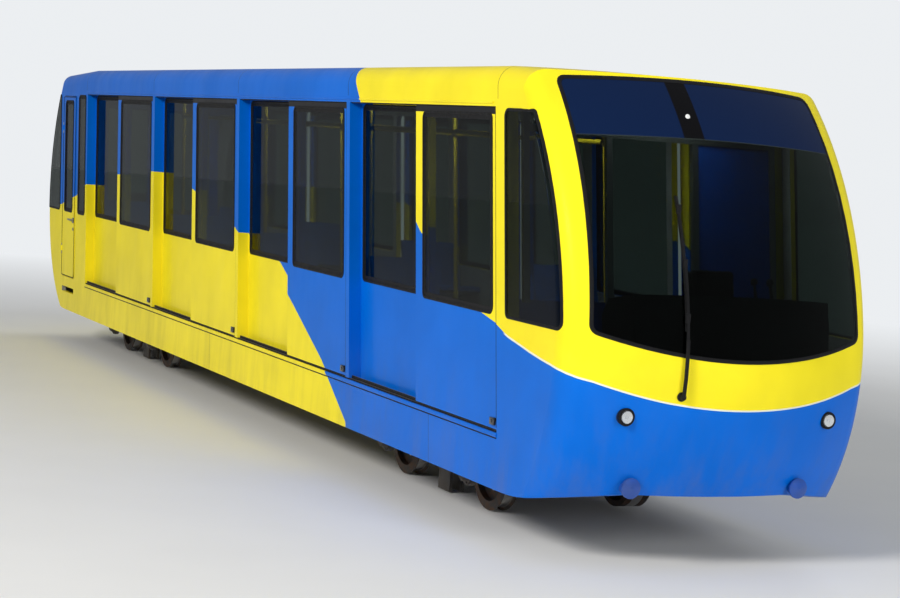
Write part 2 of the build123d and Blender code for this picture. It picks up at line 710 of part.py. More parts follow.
def wheelset(x):
    """Axle with a double-flanged wheel on the -Y rail and a broad flangeless roller on the other."""
    rail = GAUGE / 2 + RAIL_HEAD / 2
    flange_r = TREAD_R + FLANGE
    rim_r = TREAD_R - RIM_T
    half_tread = WHEEL_W / 2
    half_wheel = half_tread + FLANGE_T
    axle = polygon((0, -JOURNAL_Y), (JOURNAL_R, -JOURNAL_Y), (JOURNAL_R, -SIDE_Y + AXLE_R),
                   (AXLE_R, -SIDE_Y + AXLE_R), (AXLE_R, SIDE_Y - AXLE_R), (JOURNAL_R, SIDE_Y - AXLE_R),
                   (JOURNAL_R, JOURNAL_Y), (0, JOURNAL_Y))
    left = polygon((0, -half_tread), (HUB_R, -half_tread), (HUB_R, -WEB_T / 2), (rim_r, -WEB_T / 2),
                   (rim_r, -half_wheel), (flange_r, -half_wheel + FLANGE_T / 3),
                   (flange_r, -half_wheel + FLANGE_T / 2), (TREAD_R, -half_tread),
                   (TREAD_R, half_tread), (flange_r, half_wheel - FLANGE_T / 2),
                   (flange_r, half_wheel - FLANGE_T / 3), (rim_r, half_wheel), (rim_r, WEB_T / 2),
                   (HUB_R, WEB_T / 2), (HUB_R, half_tread), (0, half_tread))
    half_roller = ROLLER_TREAD / 2
    right = polygon((0, -half_tread), (HUB_R, -half_tread), (HUB_R, -WEB_T / 2), (rim_r, -WEB_T / 2),
                    (rim_r, -half_roller), (TREAD_R, -half_roller), (TREAD_R, half_roller),
                    (rim_r, half_roller), (rim_r, WEB_T / 2), (HUB_R, WEB_T / 2), (HUB_R, half_tread),
                    (0, half_tread))
    section = axle + left.moved(Location((0, -rail))) + right.moved(Location((0, rail)))
    return revolve(section, axis=Axis.Y).moved(Location((x, 0, AXLE_Z)))


def bogie_frame(x):
    """Two side frames with round axle boxes, joined by the bolster with its pivot and bearers."""
    half = WHEELBASE / 2
    top = BOLSTER_Z + BOLSTER_H
    side = make_face([
        Line((-half, AXLE_Z + AXLEBOX_R), (-half / 2, BOLSTER_Z + BOLSTER_H)),
        Line((-half / 2, top), (half / 2, top)),
        Line((half / 2, top), (half, AXLE_Z + AXLEBOX_R)),
        Line((half, AXLE_Z + AXLEBOX_R), (half, AXLE_Z)),
        Line((half, AXLE_Z), (half / 2, BOLSTER_Z - AXLEBOX_R)),
        Line((half / 2, BOLSTER_Z - AXLEBOX_R), (-half / 2, BOLSTER_Z - AXLEBOX_R)),
        Line((-half / 2, BOLSTER_Z - AXLEBOX_R), (-half, AXLE_Z)),
        Line((-half, AXLE_Z), (-half, AXLE_Z + AXLEBOX_R)),
    ])
    for axle in (-half, half):
        side += Circle(AXLEBOX_R).moved(Location((axle, AXLE_Z)))
    for axle in (-half, half):
        side -= Circle(JOURNAL_R + FIT).moved(Location((axle, AXLE_Z)))
    plates = both(slab(side, SIDE_Y - SIDE_T / 2, SIDE_Y + SIDE_T / 2))
    frame = block(-BOLSTER_W / 2, BOLSTER_W / 2, -SIDE_Y, SIDE_Y, BOLSTER_Z, top)
    frame = frame + plates[0] + plates[1]
    pivot = Cylinder(PIVOT_R, FRAME_TOP - top, align=(Align.CENTER, Align.CENTER, Align.MIN))
    frame += pivot.moved(Location((0, 0, top)))
    return frame.moved(Location((x, 0, 0)))


def rail_brake(x):
    """Calipers under the bolster: a body over each rail, with a jaw on both sides of its head."""
    rail = GAUGE / 2 + RAIL_HEAD / 2
    reach = RAIL_HEAD / 2 + PANEL
    low = FLANGE / 3
    section = Rectangle(2 * reach, BOLSTER_Z - low, align=(Align.CENTER, Align.MIN))
    section = section.moved(Location((0, low)))
    mouth = Rectangle(RAIL_HEAD + FLANGE / 2, 3 * STEP / 2, align=(Align.CENTER, Align.MIN))
    section -= mouth
    caliper = along(section, -STEP, STEP)
    return [caliper.moved(Location((x, side * rail, 0))) for side in (-1, 1)]


def rope_socket():
    """Clevis under the uphill end of the underframe: two eyes for an upright pin, on a bracket."""
    bottom = SOCKET_Z - STEP / 2 - PANEL
    eye = Circle(SOCKET_EYE_R) - Circle(SOCKET_PIN_R)
    arm = Rectangle(SOCKET_BACK, 2 * SOCKET_EYE_R, align=(Align.MIN, Align.CENTER))
    eye += arm - Circle(SOCKET_EYE_R - FIT)
    back = (SOCKET_BACK - SOCKET_BACK_T / 2, SOCKET_BACK + SOCKET_BACK_T / 2)
    clevis = block(*back, -SOCKET_EYE_R, SOCKET_EYE_R, bottom, FRAME_Z)
    for z in (bottom, SOCKET_Z + STEP / 2):
        clevis += extrude(eye, amount=PANEL, dir=(0, 0, 1)).moved(Location((0, 0, z)))
    return clevis.moved(Location((SOCKET_X, 0, 0)))


def seat(station):
    """Moulded seat shell on a pedestal, level on its step, on the +Y side."""
    t = SEAT_SHELL
    lean = SEAT_BACK * tan(radians(SEAT_LEAN_DEG))
    shell = polygon((0, SEAT_H), (SEAT_D, SEAT_H + t / 2), (SEAT_D, SEAT_H - t), (-t, SEAT_H - t),
                    (-t - lean, SEAT_H + SEAT_BACK), (-lean, SEAT_H + SEAT_BACK))
    shell = fillet(shell.vertices(), t / 3)
    leg = Rectangle(SEAT_LEG, SEAT_H - t - FIT, align=(Align.CENTER, Align.MIN))
    leg = leg.moved(Location((SEAT_D / 2, FIT)))
    near = CABIN_HALF - FIT - SEAT_W
    body = slab(shell, near, near + SEAT_W) + slab(leg, near + SEAT_W / 3, near + SEAT_W * 2 / 3)
    return body.moved(on_step(station, SEAT_FROM_RISER))


def stanchions():
    """Poles beside the doors on the +Y side, joined by a grab rail along the cabin."""
    under_roof = along(body_section(SKIN + FIT), -FAR, FAR)
    places = [on_step(mid, POLE_FROM_RISER) * Location((0, POLE_Y, FIT)) for mid in MIDS]
    ends = [at(station, RAIL_Z) for station in (MIDS[0], MIDS[-1] + POLE_FROM_RISER)]
    rail = Cylinder(POLE_R, ends[1] - ends[0], rotation=(0, 90, 0))
    frame = rail.moved(Location(((ends[0] + ends[1]) / 2, POLE_Y, RAIL_Z)))
    for place in places:
        pole = Cylinder(POLE_R, CROWN_Z, align=(Align.CENTER, Align.CENTER, Align.MIN))
        frame += pole.moved(place) & under_roof
    return frame


def partitions(deck):
    """Cab bulkhead with its gangway and windows, and a parapet behind the downhill window."""
    tunnel = body_section(SKIN + FIT) & Rectangle(2 * CABIN_HALF, 3 * CROWN_Z)
    bulkhead = tunnel - Rectangle(GANGWAY, 2 * PARTITION_HEAD_Z)
    pane_w = CABIN_HALF - GANGWAY / 2 - 2 * STEP
    for side in (-1, 1):
        pane = Rectangle(pane_w, PARTITION_HEAD_Z - PARAPET_Z, align=(Align.CENTER, Align.MIN))
        bulkhead -= pane.moved(Location((side * (GANGWAY / 2 + STEP + pane_w / 2), PARAPET_Z)))
    parapet = (tunnel & Rectangle(2 * CABIN_HALF, 2 * PARAPET_Z)) - Rectangle(GANGWAY, 2 * CROWN_Z)
    above = block(-FAR, FAR, -HALF_WIDTH, HALF_WIDTH, FLOOR_Z - DECK / 4, 2 * CROWN_Z)
    pieces = []
    for end, face in ((-1, bulkhead), (1, parapet)):
        station = NOSE_ENDS[end] + end * (PORTAL - PARTITION) / 2
        plate = along(face, -FAR, FAR) & between(*sorted((station, station + end * PARTITION))) & above
        pieces += list((plate - deck).solids())
    return pieces


def desk(end, deck):
    """Driver's desk against the inside of a nose, level on its step."""
    start = POSTS[-1] if end > 0 else POST_1 - BAY
    tip_run = (TIPS[end] - start) * COS_A
    rear = tip_run - end * DESK_REACH
    height = DESK_H[end]
    face = polygon((rear, -DECK / 4), (rear, height - DESK_SLOPE), (rear + end * DESK_SLOPE, height),
                   (rear + end * BAY, height), (rear + end * BAY, -DECK / 4))
    body = slab(face, -DESK_HALF, DESK_HALF).moved(on_step(start))
    return (body & nose_volume(end, SKIN + FIT)) - deck


def wiper(end):
    """Wiper parked upright: a blade that follows the glass, its arm and its pivot."""
    y = -end * WIPER_Y
    back = bulge(WIPER_Y)

    def line(low, high, offset):
        points = [(nose_x(end, z) - end * (back - offset), z) for z in (low, (low + high) / 2, high)]
        return ThreePointArc(*points)

    def strip(low, high, near, far):
        levels = [low, max(low, RAKES[end][0]), high]
        edges = [line(z0, z1, offset) for z0, z1 in zip(levels, levels[1:]) if z1 > z0
                 for offset in (near, far)]
        edges += [Line(edges[0] @ 0, edges[1] @ 0), Line(edges[-2] @ 1, edges[-1] @ 1)]
        return slab(make_face(edges), y - WIPER_W / 2, y + WIPER_W / 2)

    blade = strip(*WIPER_Z, WIPER_LIFT, WIPER_LIFT + WIPER_DEPTH)
    top = WIPER_LIFT + WIPER_DEPTH
    arm = strip(WIPER_PIVOT_Z - WIPER_PIVOT_R, sum(WIPER_Z) / 2, top, top + WIPER_DEPTH / 2)
    tip = top + WIPER_DEPTH / 4
    reach = SKIN / 2 + tip
    stub = Cylinder(WIPER_PIVOT_R, reach, rotation=(0, 90, 0))
    x = nose_x(end, WIPER_PIVOT_Z) - end * (back - tip + reach / 2)
    return blade + arm + stub.moved(Location((x, y, WIPER_PIVOT_Z)))


DECK_SOLID = floor_deck()
NODES = {
    "underframe": underframe(),
    "floor_deck": DECK_SOLID,
    "side_wall_right": side_wall(),
    "side_wall_left": mirror(side_wall(), about=Plane.XZ),
    "skirts": both(skirt()),
    "guide_rails": [piece for side in guide_rails() for piece in both(side)],
    "roof": roof(),
    "nose_down": nose(1),
    "nose_up": nose(-1),
    "windscreens": [windscreen(1), windscreen(-1)],
    "fixed_glass": [piece for pane in fixed_glass() for piece in both(pane)],
    "buffers": [buffer(end, side) for end in (1, -1) for side in (1, -1)],
    "lamps": [lamp(end, side) for end in (1, -1) for side in (1, -1)],
    "rope_socket": rope_socket(),
    "seats": [piece for post in POSTS[:-1] for piece in both(seat(post))],
    "stanchions": both(stanchions()),
    "partitions": partitions(DECK_SOLID),
    "desks": [desk(end, DECK_SOLID) for end in (1, -1)],
    "wipers": [wiper(end) for end in (1, -1)],
}
for number in range(BAYS):
    right = leaf(number)
    pane = slab(leaf_pane(number, FIT), LEAF_OUT - GLASS - 3, LEAF_OUT - 3)
    NODES[f"leaf_right_{number + 1}"] = right
    NODES[f"leaf_left_{number + 1}"] = mirror(right, about=Plane.XZ)
    NODES[f"leaf_glass_right_{number + 1}"] = pane
    NODES[f"leaf_glass_left_{number + 1}"] = mirror(pane, about=Plane.XZ)
right = cab_door()
pane = slab(cab_glass_face(FIT), HALF_WIDTH - GLASS, HALF_WIDTH)
NODES["cab_door_right"] = right
NODES["cab_door_left"] = mirror(right, about=Plane.XZ)
NODES["cab_glass_right"] = pane
NODES["cab_glass_left"] = mirror(pane, about=Plane.XZ)
for name, x in (("down", BOGIE_X), ("up", -BOGIE_X)):
    NODES[f"bogie_{name}"] = bogie_frame(x)
    NODES[f"rail_brake_{name}"] = rail_brake(x)
    NODES[f"wheelset_{name}_a"] = wheelset(x + WHEELBASE / 2)
    NODES[f"wheelset_{name}_b"] = wheelset(x - WHEELBASE / 2)

os.makedirs("parts", exist_ok=True)
for name, piece in NODES.items():
    shape = Compound(children=list(piece)) if isinstance(piece, list) else piece
    export_step(shape, f"parts/{name}.step")
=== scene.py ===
import bmesh
import bpy
import math
from mathutils import Matrix, Vector


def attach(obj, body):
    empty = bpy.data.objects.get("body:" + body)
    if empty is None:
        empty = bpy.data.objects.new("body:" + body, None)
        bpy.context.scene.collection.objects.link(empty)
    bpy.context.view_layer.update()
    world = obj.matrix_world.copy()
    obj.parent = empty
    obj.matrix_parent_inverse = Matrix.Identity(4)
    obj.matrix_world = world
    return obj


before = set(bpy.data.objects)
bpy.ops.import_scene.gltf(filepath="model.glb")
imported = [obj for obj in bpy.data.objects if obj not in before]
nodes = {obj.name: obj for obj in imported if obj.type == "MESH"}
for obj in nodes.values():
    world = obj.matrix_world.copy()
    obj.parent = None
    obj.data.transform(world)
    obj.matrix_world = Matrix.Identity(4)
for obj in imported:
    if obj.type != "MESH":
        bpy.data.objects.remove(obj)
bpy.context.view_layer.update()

# Sizes in metres, in the same frame as the model: +X downhill, +Z square to the track.
SLOPE = math.radians(10.4)
LEAN = math.tan(SLOPE)
SIN_A, COS_A = math.sin(SLOPE), math.cos(SLOPE)
SILL, FLOOR, BELT, CANTRAIL = 0.743, 0.760, 1.488, 2.848
HALF_W, WALL_OUT, CABIN_HALF = 1.130, 1.030, 0.980
BAY, BAYS, POST, PILLAR = 2.680, 4, 0.068, 0.040
NOSE_UP, NOSE_DOWN = 2.050, 1.260
NOSE_R, CORNER_R, TUCK_R = 2.293, 0.200, 1.600
RAKE_R_UP, RAKE_R_DOWN, RAKE_LIFT = 2.000, 2.700, 0.100
UP_WINDOW, UP_PILLAR, CAB_DOOR, CAB_PILLAR, DOWN_QUARTER = 0.310, 0.130, 0.560, 0.140, 0.140
FRONT_POST, PANE_HEAD, PANE_CORNER = 0.346, 0.014, 0.045
LEAF_FRONT, LEAF_INSET, LEAF_HEAD = 0.125, 0.008, 0.048
CAB_PROUD, CAB_STILE, CAB_HEAD, CAB_GLASS_HEAD, HANDLE_Z = 0.006, 0.095, 0.038, 0.080, 1.400
SCREEN_LOW, SCREEN_HIGH, SCREEN_DIP, SCREEN_CROWN = 1.498, 3.064, 0.140, 0.035
SCREEN_HALF, SCREEN_HALF_TOP, SCREEN_CORNER = 0.990, 0.955, 0.060
LAMP_Y, LAMP_Z, WIPER_Y, WIPER_Z = 0.744, 0.991, 0.420, 1.135
CAMERA_Y, CAMERA_Z = 0.185, 2.865
BOGIE_FROM_END, HALF_BASE, AXLE_Z, WHEEL_Y, AXLE_BOX_Y = 3.035, 0.750, 0.276, 0.530, 0.7622
POLE_Y, POLE_JOINT_Z = 0.400, 2.680

# Places by station, a station being the x of a plumb line at the belt
UP_REACH = RAKE_R_UP * (1 - COS_A)
DOWN_REACH = TUCK_R * (1 - COS_A) - RAKE_LIFT * LEAN
TIP_UP = UP_REACH - (UP_REACH + NOSE_UP + BAYS * BAY + NOSE_DOWN + DOWN_REACH) / 2
POSTS = [TIP_UP + NOSE_UP + BAY * i for i in range(BAYS + 1)]
P1, P2, P3, P4, P5 = POSTS
MIDS = [post + BAY / 2 for post in POSTS[:-1]]
D1, D2 = MIDS[:2]
TIPS = {1: P5 + NOSE_DOWN, -1: TIP_UP}
RAKES = {1: (BELT + RAKE_LIFT, RAKE_R_DOWN), -1: (BELT, RAKE_R_UP)}
CAB_BACK = P1 - UP_WINDOW - UP_PILLAR
CAB_FRONT = CAB_BACK - CAB_DOOR
QUARTERS = {1: P5 + DOWN_QUARTER, -1: CAB_FRONT - CAB_PILLAR}
HEAD = CANTRAIL - PANE_HEAD
BOGIE_X = P5 + NOSE_DOWN + DOWN_REACH - BOGIE_FROM_END
SIDES = {"right": 1, "left": -1}
ENDS = {"down": 1, "up": -1}


def at(station, z):
    """x of the plumb line through a station, at height z."""
    return station - (z - BELT) * LEAN


def nose_x(end, z):
    """x of the nose's centre line at height z."""
    plumb_z, rake_r = RAKES[end]
    radius = rake_r if z > plumb_z else TUCK_R
    cx = at(TIPS[end], plumb_z) - end * radius * COS_A
    cz = plumb_z - end * radius * SIN_A
    return cx + end * math.sqrt(radius ** 2 - (z - cz) ** 2)


def bulge(y):
    """How far the nose lies behind its centre line at distance y."""
    across = HALF_W - CORNER_R
    if abs(y) <= across * NOSE_R / (NOSE_R - CORNER_R):
        return NOSE_R - math.sqrt(NOSE_R ** 2 - y * y)
    drop = NOSE_R - math.sqrt((NOSE_R - CORNER_R) ** 2 - across ** 2)
    return drop - math.sqrt(max(CORNER_R ** 2 - (min(abs(y), HALF_W) - across) ** 2, 0))


def side_y(back):
    """Half width of the nose at a distance behind its centre line."""
    low, high = 0.0, HALF_W
    if back >= bulge(HALF_W):
        return HALF_W
    for _ in range(40):
        mid = (low + high) / 2
        low, high = (mid, high) if bulge(mid) < back else (low, mid)
    return low


# Materials


def material(name):
    """New node material; returns it with its tree and its Principled shader."""
    mat = bpy.data.materials.new(name)
    mat.use_nodes = True
    return mat, mat.node_tree, mat.node_tree.nodes["Principled BSDF"]


class Maker:
    """Short calls that add nodes and join them."""

    def __init__(self, tree):
        self.tree = tree
        self.place = None

    def node(self, kind, **settings):
        made = self.tree.nodes.new("ShaderNode" + kind)
        for key, value in settings.items():
            setattr(made, key, value)
        return made

    def put(self, socket, value):
        if isinstance(value, bpy.types.NodeSocket):
            self.tree.links.new(value, socket)
        elif isinstance(value, tuple) and len(value) == 3 and socket.type == "RGBA":
            socket.default_value = (*value, 1.0)
        else:
            socket.default_value = value

    def math(self, operation, *values):
        made = self.node("Math", operation=operation)
        for socket, value in zip(made.inputs, values):
            self.put(socket, value)
        return made.outputs[0]

    def spot(self):
        """Object coordinates as (vector, x, y, z)."""
        if self.place is None:
            coords = self.node("TexCoord").outputs["Object"]
            split = self.node("SeparateXYZ")
            self.put(split.inputs[0], coords)
            self.place = (coords, *split.outputs)
        return self.place

    def station(self):
        """Station of a place, as at() counts it."""
        _, x, _, z = self.spot()
        return self.math("ADD", x, self.math("MULTIPLY", self.math("SUBTRACT", z, BELT), LEAN))

    def apart(self, value, middle):
        """Distance of a value from a middle."""
        return self.math("ABSOLUTE", self.math("SUBTRACT", value, middle))

    def noise(self, scale, detail=4.0, rough=0.55, stretch=None):
        vector = self.spot()[0]
        if stretch:
            mapping = self.node("Mapping")
            self.put(mapping.inputs["Vector"], vector)
            mapping.inputs["Scale"].default_value = stretch
            vector = mapping.outputs[0]
        made = self.node("TexNoise")
        self.put(made.inputs["Vector"], vector)
        self.put(made.inputs["Scale"], scale)
        self.put(made.inputs["Detail"], detail)
        self.put(made.inputs["Roughness"], rough)
        return made.outputs["Fac"]

    def ramp(self, fac, low, high, out_low=0.0, out_high=1.0):
        made = self.node("MapRange")
        for key, value in (("Value", fac), ("From Min", low), ("From Max", high), ("To Min", out_low),
                           ("To Max", out_high)):
            self.put(made.inputs[key], value)
        return made.outputs["Result"]

    def mix(self, fac, first, second):
        made = self.node("Mix", data_type="RGBA")
        self.put(made.inputs[0], fac)
        self.put(made.inputs[6], first)
        self.put(made.inputs[7], second)
        return made.outputs[2]

    def bump(self, height, strength, distance, shader):
        made = self.node("Bump")
        self.put(made.inputs["Height"], height)
        made.inputs["Strength"].default_value = strength
        made.inputs["Distance"].default_value = distance
        self.tree.links.new(made.outputs[0], shader.inputs["Normal"])

    def line(self, x, points, smooth_from=99.0):
        """Curve through points (x, y), for x and y in metres: straight between them, then smooth."""
        low, high = points[0][0], points[-1][0]
        made = self.node("FloatCurve")
        curve = made.mapping.curves[0]
        scaled = [((px - low) / (high - low), py / 4) for px, py in points]
        curve.points[0].location = scaled[0]
        curve.points[1].location = scaled[-1]
        for place in scaled[1:-1]:
            curve.points.new(*place)
        for point in curve.points:
            point.handle_type = "AUTO" if low + point.location[0] * (high - low) > smooth_from else "VECTOR"
        made.mapping.update()
        self.put(made.inputs["Value"], self.ramp(x, low, high))
        return self.math("MULTIPLY", made.outputs[0], 4.0)


BLUE = (0.0, 0.132, 0.62)
YELLOW = (0.90, 0.755, 0.018)
NAVY = (0.004, 0.013, 0.050)
PALE_LINE = (0.80, 0.82, 0.62)
# Near-black of the sealed joints, also used as painted shade on the leaves' top rails.
JOINT_AND_SHADE_BLACK = (0.012, 0.012, 0.014)
ROAD_DUST = (0.17, 0.145, 0.11)
GLASS_TINT = (0.085, 0.112, 0.102)

BAR_1, BAR_2 = CAB_FRONT - 0.070, P1 - 0.375
# Upper edge of the yellow along the uphill part, by station.
LOW_EDGE = [(-7.6, 1.486), (-6.9, 1.486), (BAR_1, 1.554), (BAR_2, 1.690), (P1, 1.830), (D1, 2.003),
            (P2 + POST / 2, 2.094), (D2, 1.985), (P3 + POST / 2, 1.685), (P3 + 0.34, 1.500),
            (P3 + 0.88, 1.486), (P3 + 1.46, 1.181), (P3 + 2.14, 0.806), (P4 + 0.05, 0.366),
            (P4 + 0.06, 0.0), (7.6, 0.0)]
# Lower edge of the yellow along the downhill part, by station.
HIGH_EDGE = [(-7.6, 3.9), (P4 + 0.10, 3.9), (P4 + 0.11, 3.126), (P4 + 0.29, 2.846), (P4 + 1.42, 1.946),
             (P4 + 2.41, 1.486), (P5, 1.431), (P5 + 0.15, 1.380), (P5 + 0.33, 1.345), (P5 + 0.50, 1.312),
             (P5 + 0.67, 1.285), (P5 + 0.83, 1.262), (P5 + 0.92, 1.238), (P5 + 1.00, 1.203),
             (P5 + 1.05, 1.163), (P5 + 1.09, 1.130), (P5 + 1.12, 1.103), (P5 + 1.15, 1.079),
             (P5 + 1.18, 1.055), (7.6, 1.045)]


def livery(make):
    """Blue and yellow by place, with the pale line where they meet on the front."""
    z = make.spot()[3]
    station = make.station()
    below = make.math("SUBTRACT", make.line(station, LOW_EDGE), z)
    above = make.math("SUBTRACT", z, make.line(station, HIGH_EDGE, P5 + 0.05))
    inside = make.math("MAXIMUM", below, above)
    yellow = make.ramp(inside, -0.0008, 0.0008)
    pale = make.ramp(make.apart(above, -0.006), 0.0075, 0.006)
    front = make.ramp(station, P5 + 0.10, P5 + 0.14)
    colour = make.mix(yellow, BLUE, YELLOW)
    return make.mix(make.math("MULTIPLY", pale, front), colour, PALE_LINE)


def seams(make):
    """Mask of the sealed joints: across the roof at each post and down the skirt."""
    z = make.spot()[3]
    station = make.station()

    def lines(places, outer, inner):
        mask = None
        for place in places:
            line = make.ramp(make.apart(station, place), outer, inner)
            mask = line if mask is None else make.math("MAXIMUM", mask, line)
        return mask

    roof = lines([post + POST / 2 for post in POSTS], 0.0035, 0.0020)
    skirt = lines([P5 - 6.09, P5 - 1.10], 0.0030, 0.0015)
    roof = make.math("MULTIPLY", roof, make.ramp(z, 2.895, 2.900))
    skirt = make.math("MULTIPLY", skirt, make.ramp(z, 0.700, 0.695))
    return make.math("MAXIMUM", roof, skirt)


def paint(name, painted_shade_from=None):
    """Gloss coach paint with the two colours, a little orange peel, and road dust low down; given a height,
    it is black above it as painted shade.
    """
    mat, tree, shader = material(name)
    make = Maker(tree)
    z = make.spot()[3]
    colour = make.mix(seams(make), livery(make), JOINT_AND_SHADE_BLACK)
    # Painted shade: above the given height the colour goes black, standing for the shadow under the
    # cantrail on the leaves' top rails.
    if painted_shade_from:
        painted_shade_band = make.ramp(z, painted_shade_from - 0.001, painted_shade_from + 0.001)
        colour = make.mix(painted_shade_band, colour, JOINT_AND_SHADE_BLACK)
    tone = make.ramp(make.noise(1.3, 3.0), 0.35, 0.65, 0.93, 1.05)
    hsv = make.node("HueSaturation")
    make.put(hsv.inputs["Value"], tone)
    make.put(hsv.inputs["Color"], colour)
    streak = make.noise(2.2, 6.0, 0.65, (2.2, 2.2, 0.35))
    low = make.ramp(z, 1.25, 0.36)
    dust = make.math("MULTIPLY", make.ramp(streak, 0.42, 0.78), make.math("MULTIPLY", low, 0.30))
    tree.links.new(make.mix(dust, hsv.outputs[0], ROAD_DUST), shader.inputs["Base Color"])
    tree.links.new(make.ramp(streak, 0.3, 0.8, 0.29, 0.44), shader.inputs["Roughness"])
    shader.inputs["Specular IOR Level"].default_value = 0.08
    shader.inputs["Coat Weight"].default_value = 0.10
    shader.inputs["Coat Roughness"].default_value = 0.06
    make.bump(make.noise(140.0, 2.0), 0.05, 0.002, shader)
    return mat


def plain(name, colour, rough, metal=0.0, scale=30.0, spread=0.25, grain=0.15, second=None, coat=0.0,
          sheen=0.5):
    """Material with an uneven colour, uneven gloss and a fine grain."""
    mat, tree, shader = material(name)
    make = Maker(tree)
    broad = make.noise(scale / 8, 5.0, 0.6)
    other = second or tuple(c * (1 - spread) for c in colour)
    tree.links.new(make.mix(make.ramp(broad, 0.35, 0.7), colour, other), shader.inputs["Base Color"])
    tree.links.new(make.ramp(make.noise(scale, 4.0), 0.3, 0.7, rough * 0.8, min(rough * 1.2, 1.0)),
                   shader.inputs["Roughness"])
    shader.inputs["Metallic"].default_value = metal
    shader.inputs["Coat Weight"].default_value = coat
    shader.inputs["Specular IOR Level"].default_value = sheen
    make.bump(make.noise(scale * 8, 3.0), grain, 0.001, shader)
    return mat


def pane(name, tint=GLASS_TINT, band=None):
    """Tinted window glass with faint smears; above the height band it is navy with a black strip."""
    mat, tree, shader = material(name)
    make = Maker(tree)
    smear = make.noise(3.0, 6.0, 0.7, (1.0, 1.0, 0.4))
    tree.links.new(make.ramp(smear, 0.35, 0.8, 0.015, 0.06), shader.inputs["Roughness"])
    shader.inputs["IOR"].default_value = 1.15
    shade = make.mix(make.ramp(smear, 0.3, 0.8, 0.0, 0.25), tint, tuple(c * 0.8 for c in tint))
    if band:
        _, x, y, z = make.spot()
        sag = make.math("MULTIPLY", make.math("MULTIPLY", y, y), 0.03)
        edge = make.math("SUBTRACT", z, make.math("SUBTRACT", band, sag))
        mask = make.ramp(edge, -0.004, 0.004)
        offset = make.math("ADD", make.math("MULTIPLY", y, make.math("SIGN", x)), CAMERA_Y)
        strip = make.ramp(make.math("ABSOLUTE", offset), 0.075, 0.069)
        dark = make.mix(strip, NAVY, (0.004, 0.004, 0.005))
        tree.links.new(make.mix(mask, shade, dark), shader.inputs["Base Color"])
        tree.links.new(make.ramp(mask, 0.0, 1.0, 1.0, 0.0), shader.inputs["Transmission Weight"])
    else:
        tree.links.new(shade, shader.inputs["Base Color"])
        shader.inputs["Transmission Weight"].default_value = 1.0
    return mat


def ribbed(name, colour):
    """Ribbed rubber floor covering with dust in its grooves."""
    mat, tree, shader = material(name)
    make = Maker(tree)
    wave = make.node("TexWave", wave_type="BANDS", bands_direction="Y")
    make.put(wave.inputs["Vector"], make.spot()[0])
    wave.inputs["Scale"].default_value = 26.0
    worn = make.ramp(make.noise(2.0, 5.0), 0.35, 0.7)
    shade = make.mix(worn, colour, tuple(c * 1.7 for c in colour))
    tree.links.new(make.mix(make.ramp(wave.outputs["Fac"], 0.0, 0.3, 0.5, 0.0), shade, (0.12, 0.11, 0.09)),
                   shader.inputs["Base Color"])
    shader.inputs["Roughness"].default_value = 0.8
    make.bump(wave.outputs["Fac"], 0.5, 0.003, shader)
    return mat


def wheel_steel(name):
    """Dark wheel steel, bright and ring-marked where the rail polishes the tread."""
    mat, tree, shader = material(name)
    make = Maker(tree)
    _, x, y, z = make.spot()
    rust = make.ramp(make.noise(16.0, 6.0, 0.65), 0.42, 0.68)
    dark = make.mix(rust, (0.052, 0.05, 0.048), (0.13, 0.062, 0.03))
    tread = make.ramp(make.apart(make.math("ABSOLUTE", y), WHEEL_Y), 0.040, 0.034)
    offset = make.apart(make.math("ABSOLUTE", x), BOGIE_X)
    reach = make.math("SUBTRACT", offset, HALF_BASE)
    rise = make.math("POWER", make.math("SUBTRACT", z, AXLE_Z), 2.0)
    radius = make.math("SQRT", make.math("ADD", make.math("MULTIPLY", reach, reach), rise))
    bright = make.math("MULTIPLY", tread, make.ramp(radius, 0.243, 0.247))
    tree.links.new(make.mix(bright, dark, (0.50, 0.49, 0.47)), shader.inputs["Base Color"])
    tree.links.new(make.ramp(bright, 0.0, 1.0, 0.35, 1.0), shader.inputs["Metallic"])
    tree.links.new(make.ramp(bright, 0.0, 1.0, 0.72, 0.30), shader.inputs["Roughness"])
    make.bump(make.noise(70.0, 4.0), 0.25, 0.002, shader)
    return mat


PAINT = paint("coach_paint")
# The leaves' paint is black on the top rail as painted shade under the cantrail.
LEAF_PAINT_SHADED_HEAD = paint("leaf_paint_shaded_head", painted_shade_from=CANTRAIL - 0.052)
TRIM = plain("cabin_trim", (0.27, 0.28, 0.29), 0.55, scale=18.0, grain=0.1)
DARK = plain("frame_paint", (0.030, 0.031, 0.033), 0.6, scale=14.0, grain=0.3,
             second=(0.095, 0.075, 0.055))
RUBBER = plain("rubber_seal", (0.009, 0.009, 0.010), 0.60, scale=60.0, grain=0.2, sheen=0.2)
STEEL = plain("bright_steel", (0.48, 0.48, 0.47), 0.36, metal=1.0, scale=40.0, grain=0.1)
ALLOY = plain("alloy_section", (0.42, 0.43, 0.44), 0.38, metal=0.9, scale=40.0, grain=0.1)
CHROME = plain("chrome", (0.75, 0.76, 0.77), 0.10, metal=1.0, scale=50.0, spread=0.06, grain=0.02)
SEAT = plain("seat_plastic", (0.010, 0.085, 0.36), 0.38, scale=90.0, grain=0.25, coat=0.2)
POLE = plain("pole_paint", (0.80, 0.58, 0.02), 0.36, scale=24.0, grain=0.04, coat=0.5)
DESK = plain("desk_vinyl", (0.035, 0.037, 0.041), 0.62, scale=110.0, grain=0.5)
GLASS = pane("window_glass")
SCREEN = pane("windscreen_glass", band=2.726)
LENS = pane("lamp_lens", (0.95, 0.96, 0.96))
LAMP_BODY = plain("lamp_body", (0.020, 0.022, 0.026), 0.16, scale=60.0, spread=0.3, grain=0.03, coat=0.6)
LEDGE = plain("sill_ledge", (0.20, 0.19, 0.175), 0.55, metal=0.3, scale=30.0, grain=0.2,
              second=(0.11, 0.10, 0.085))
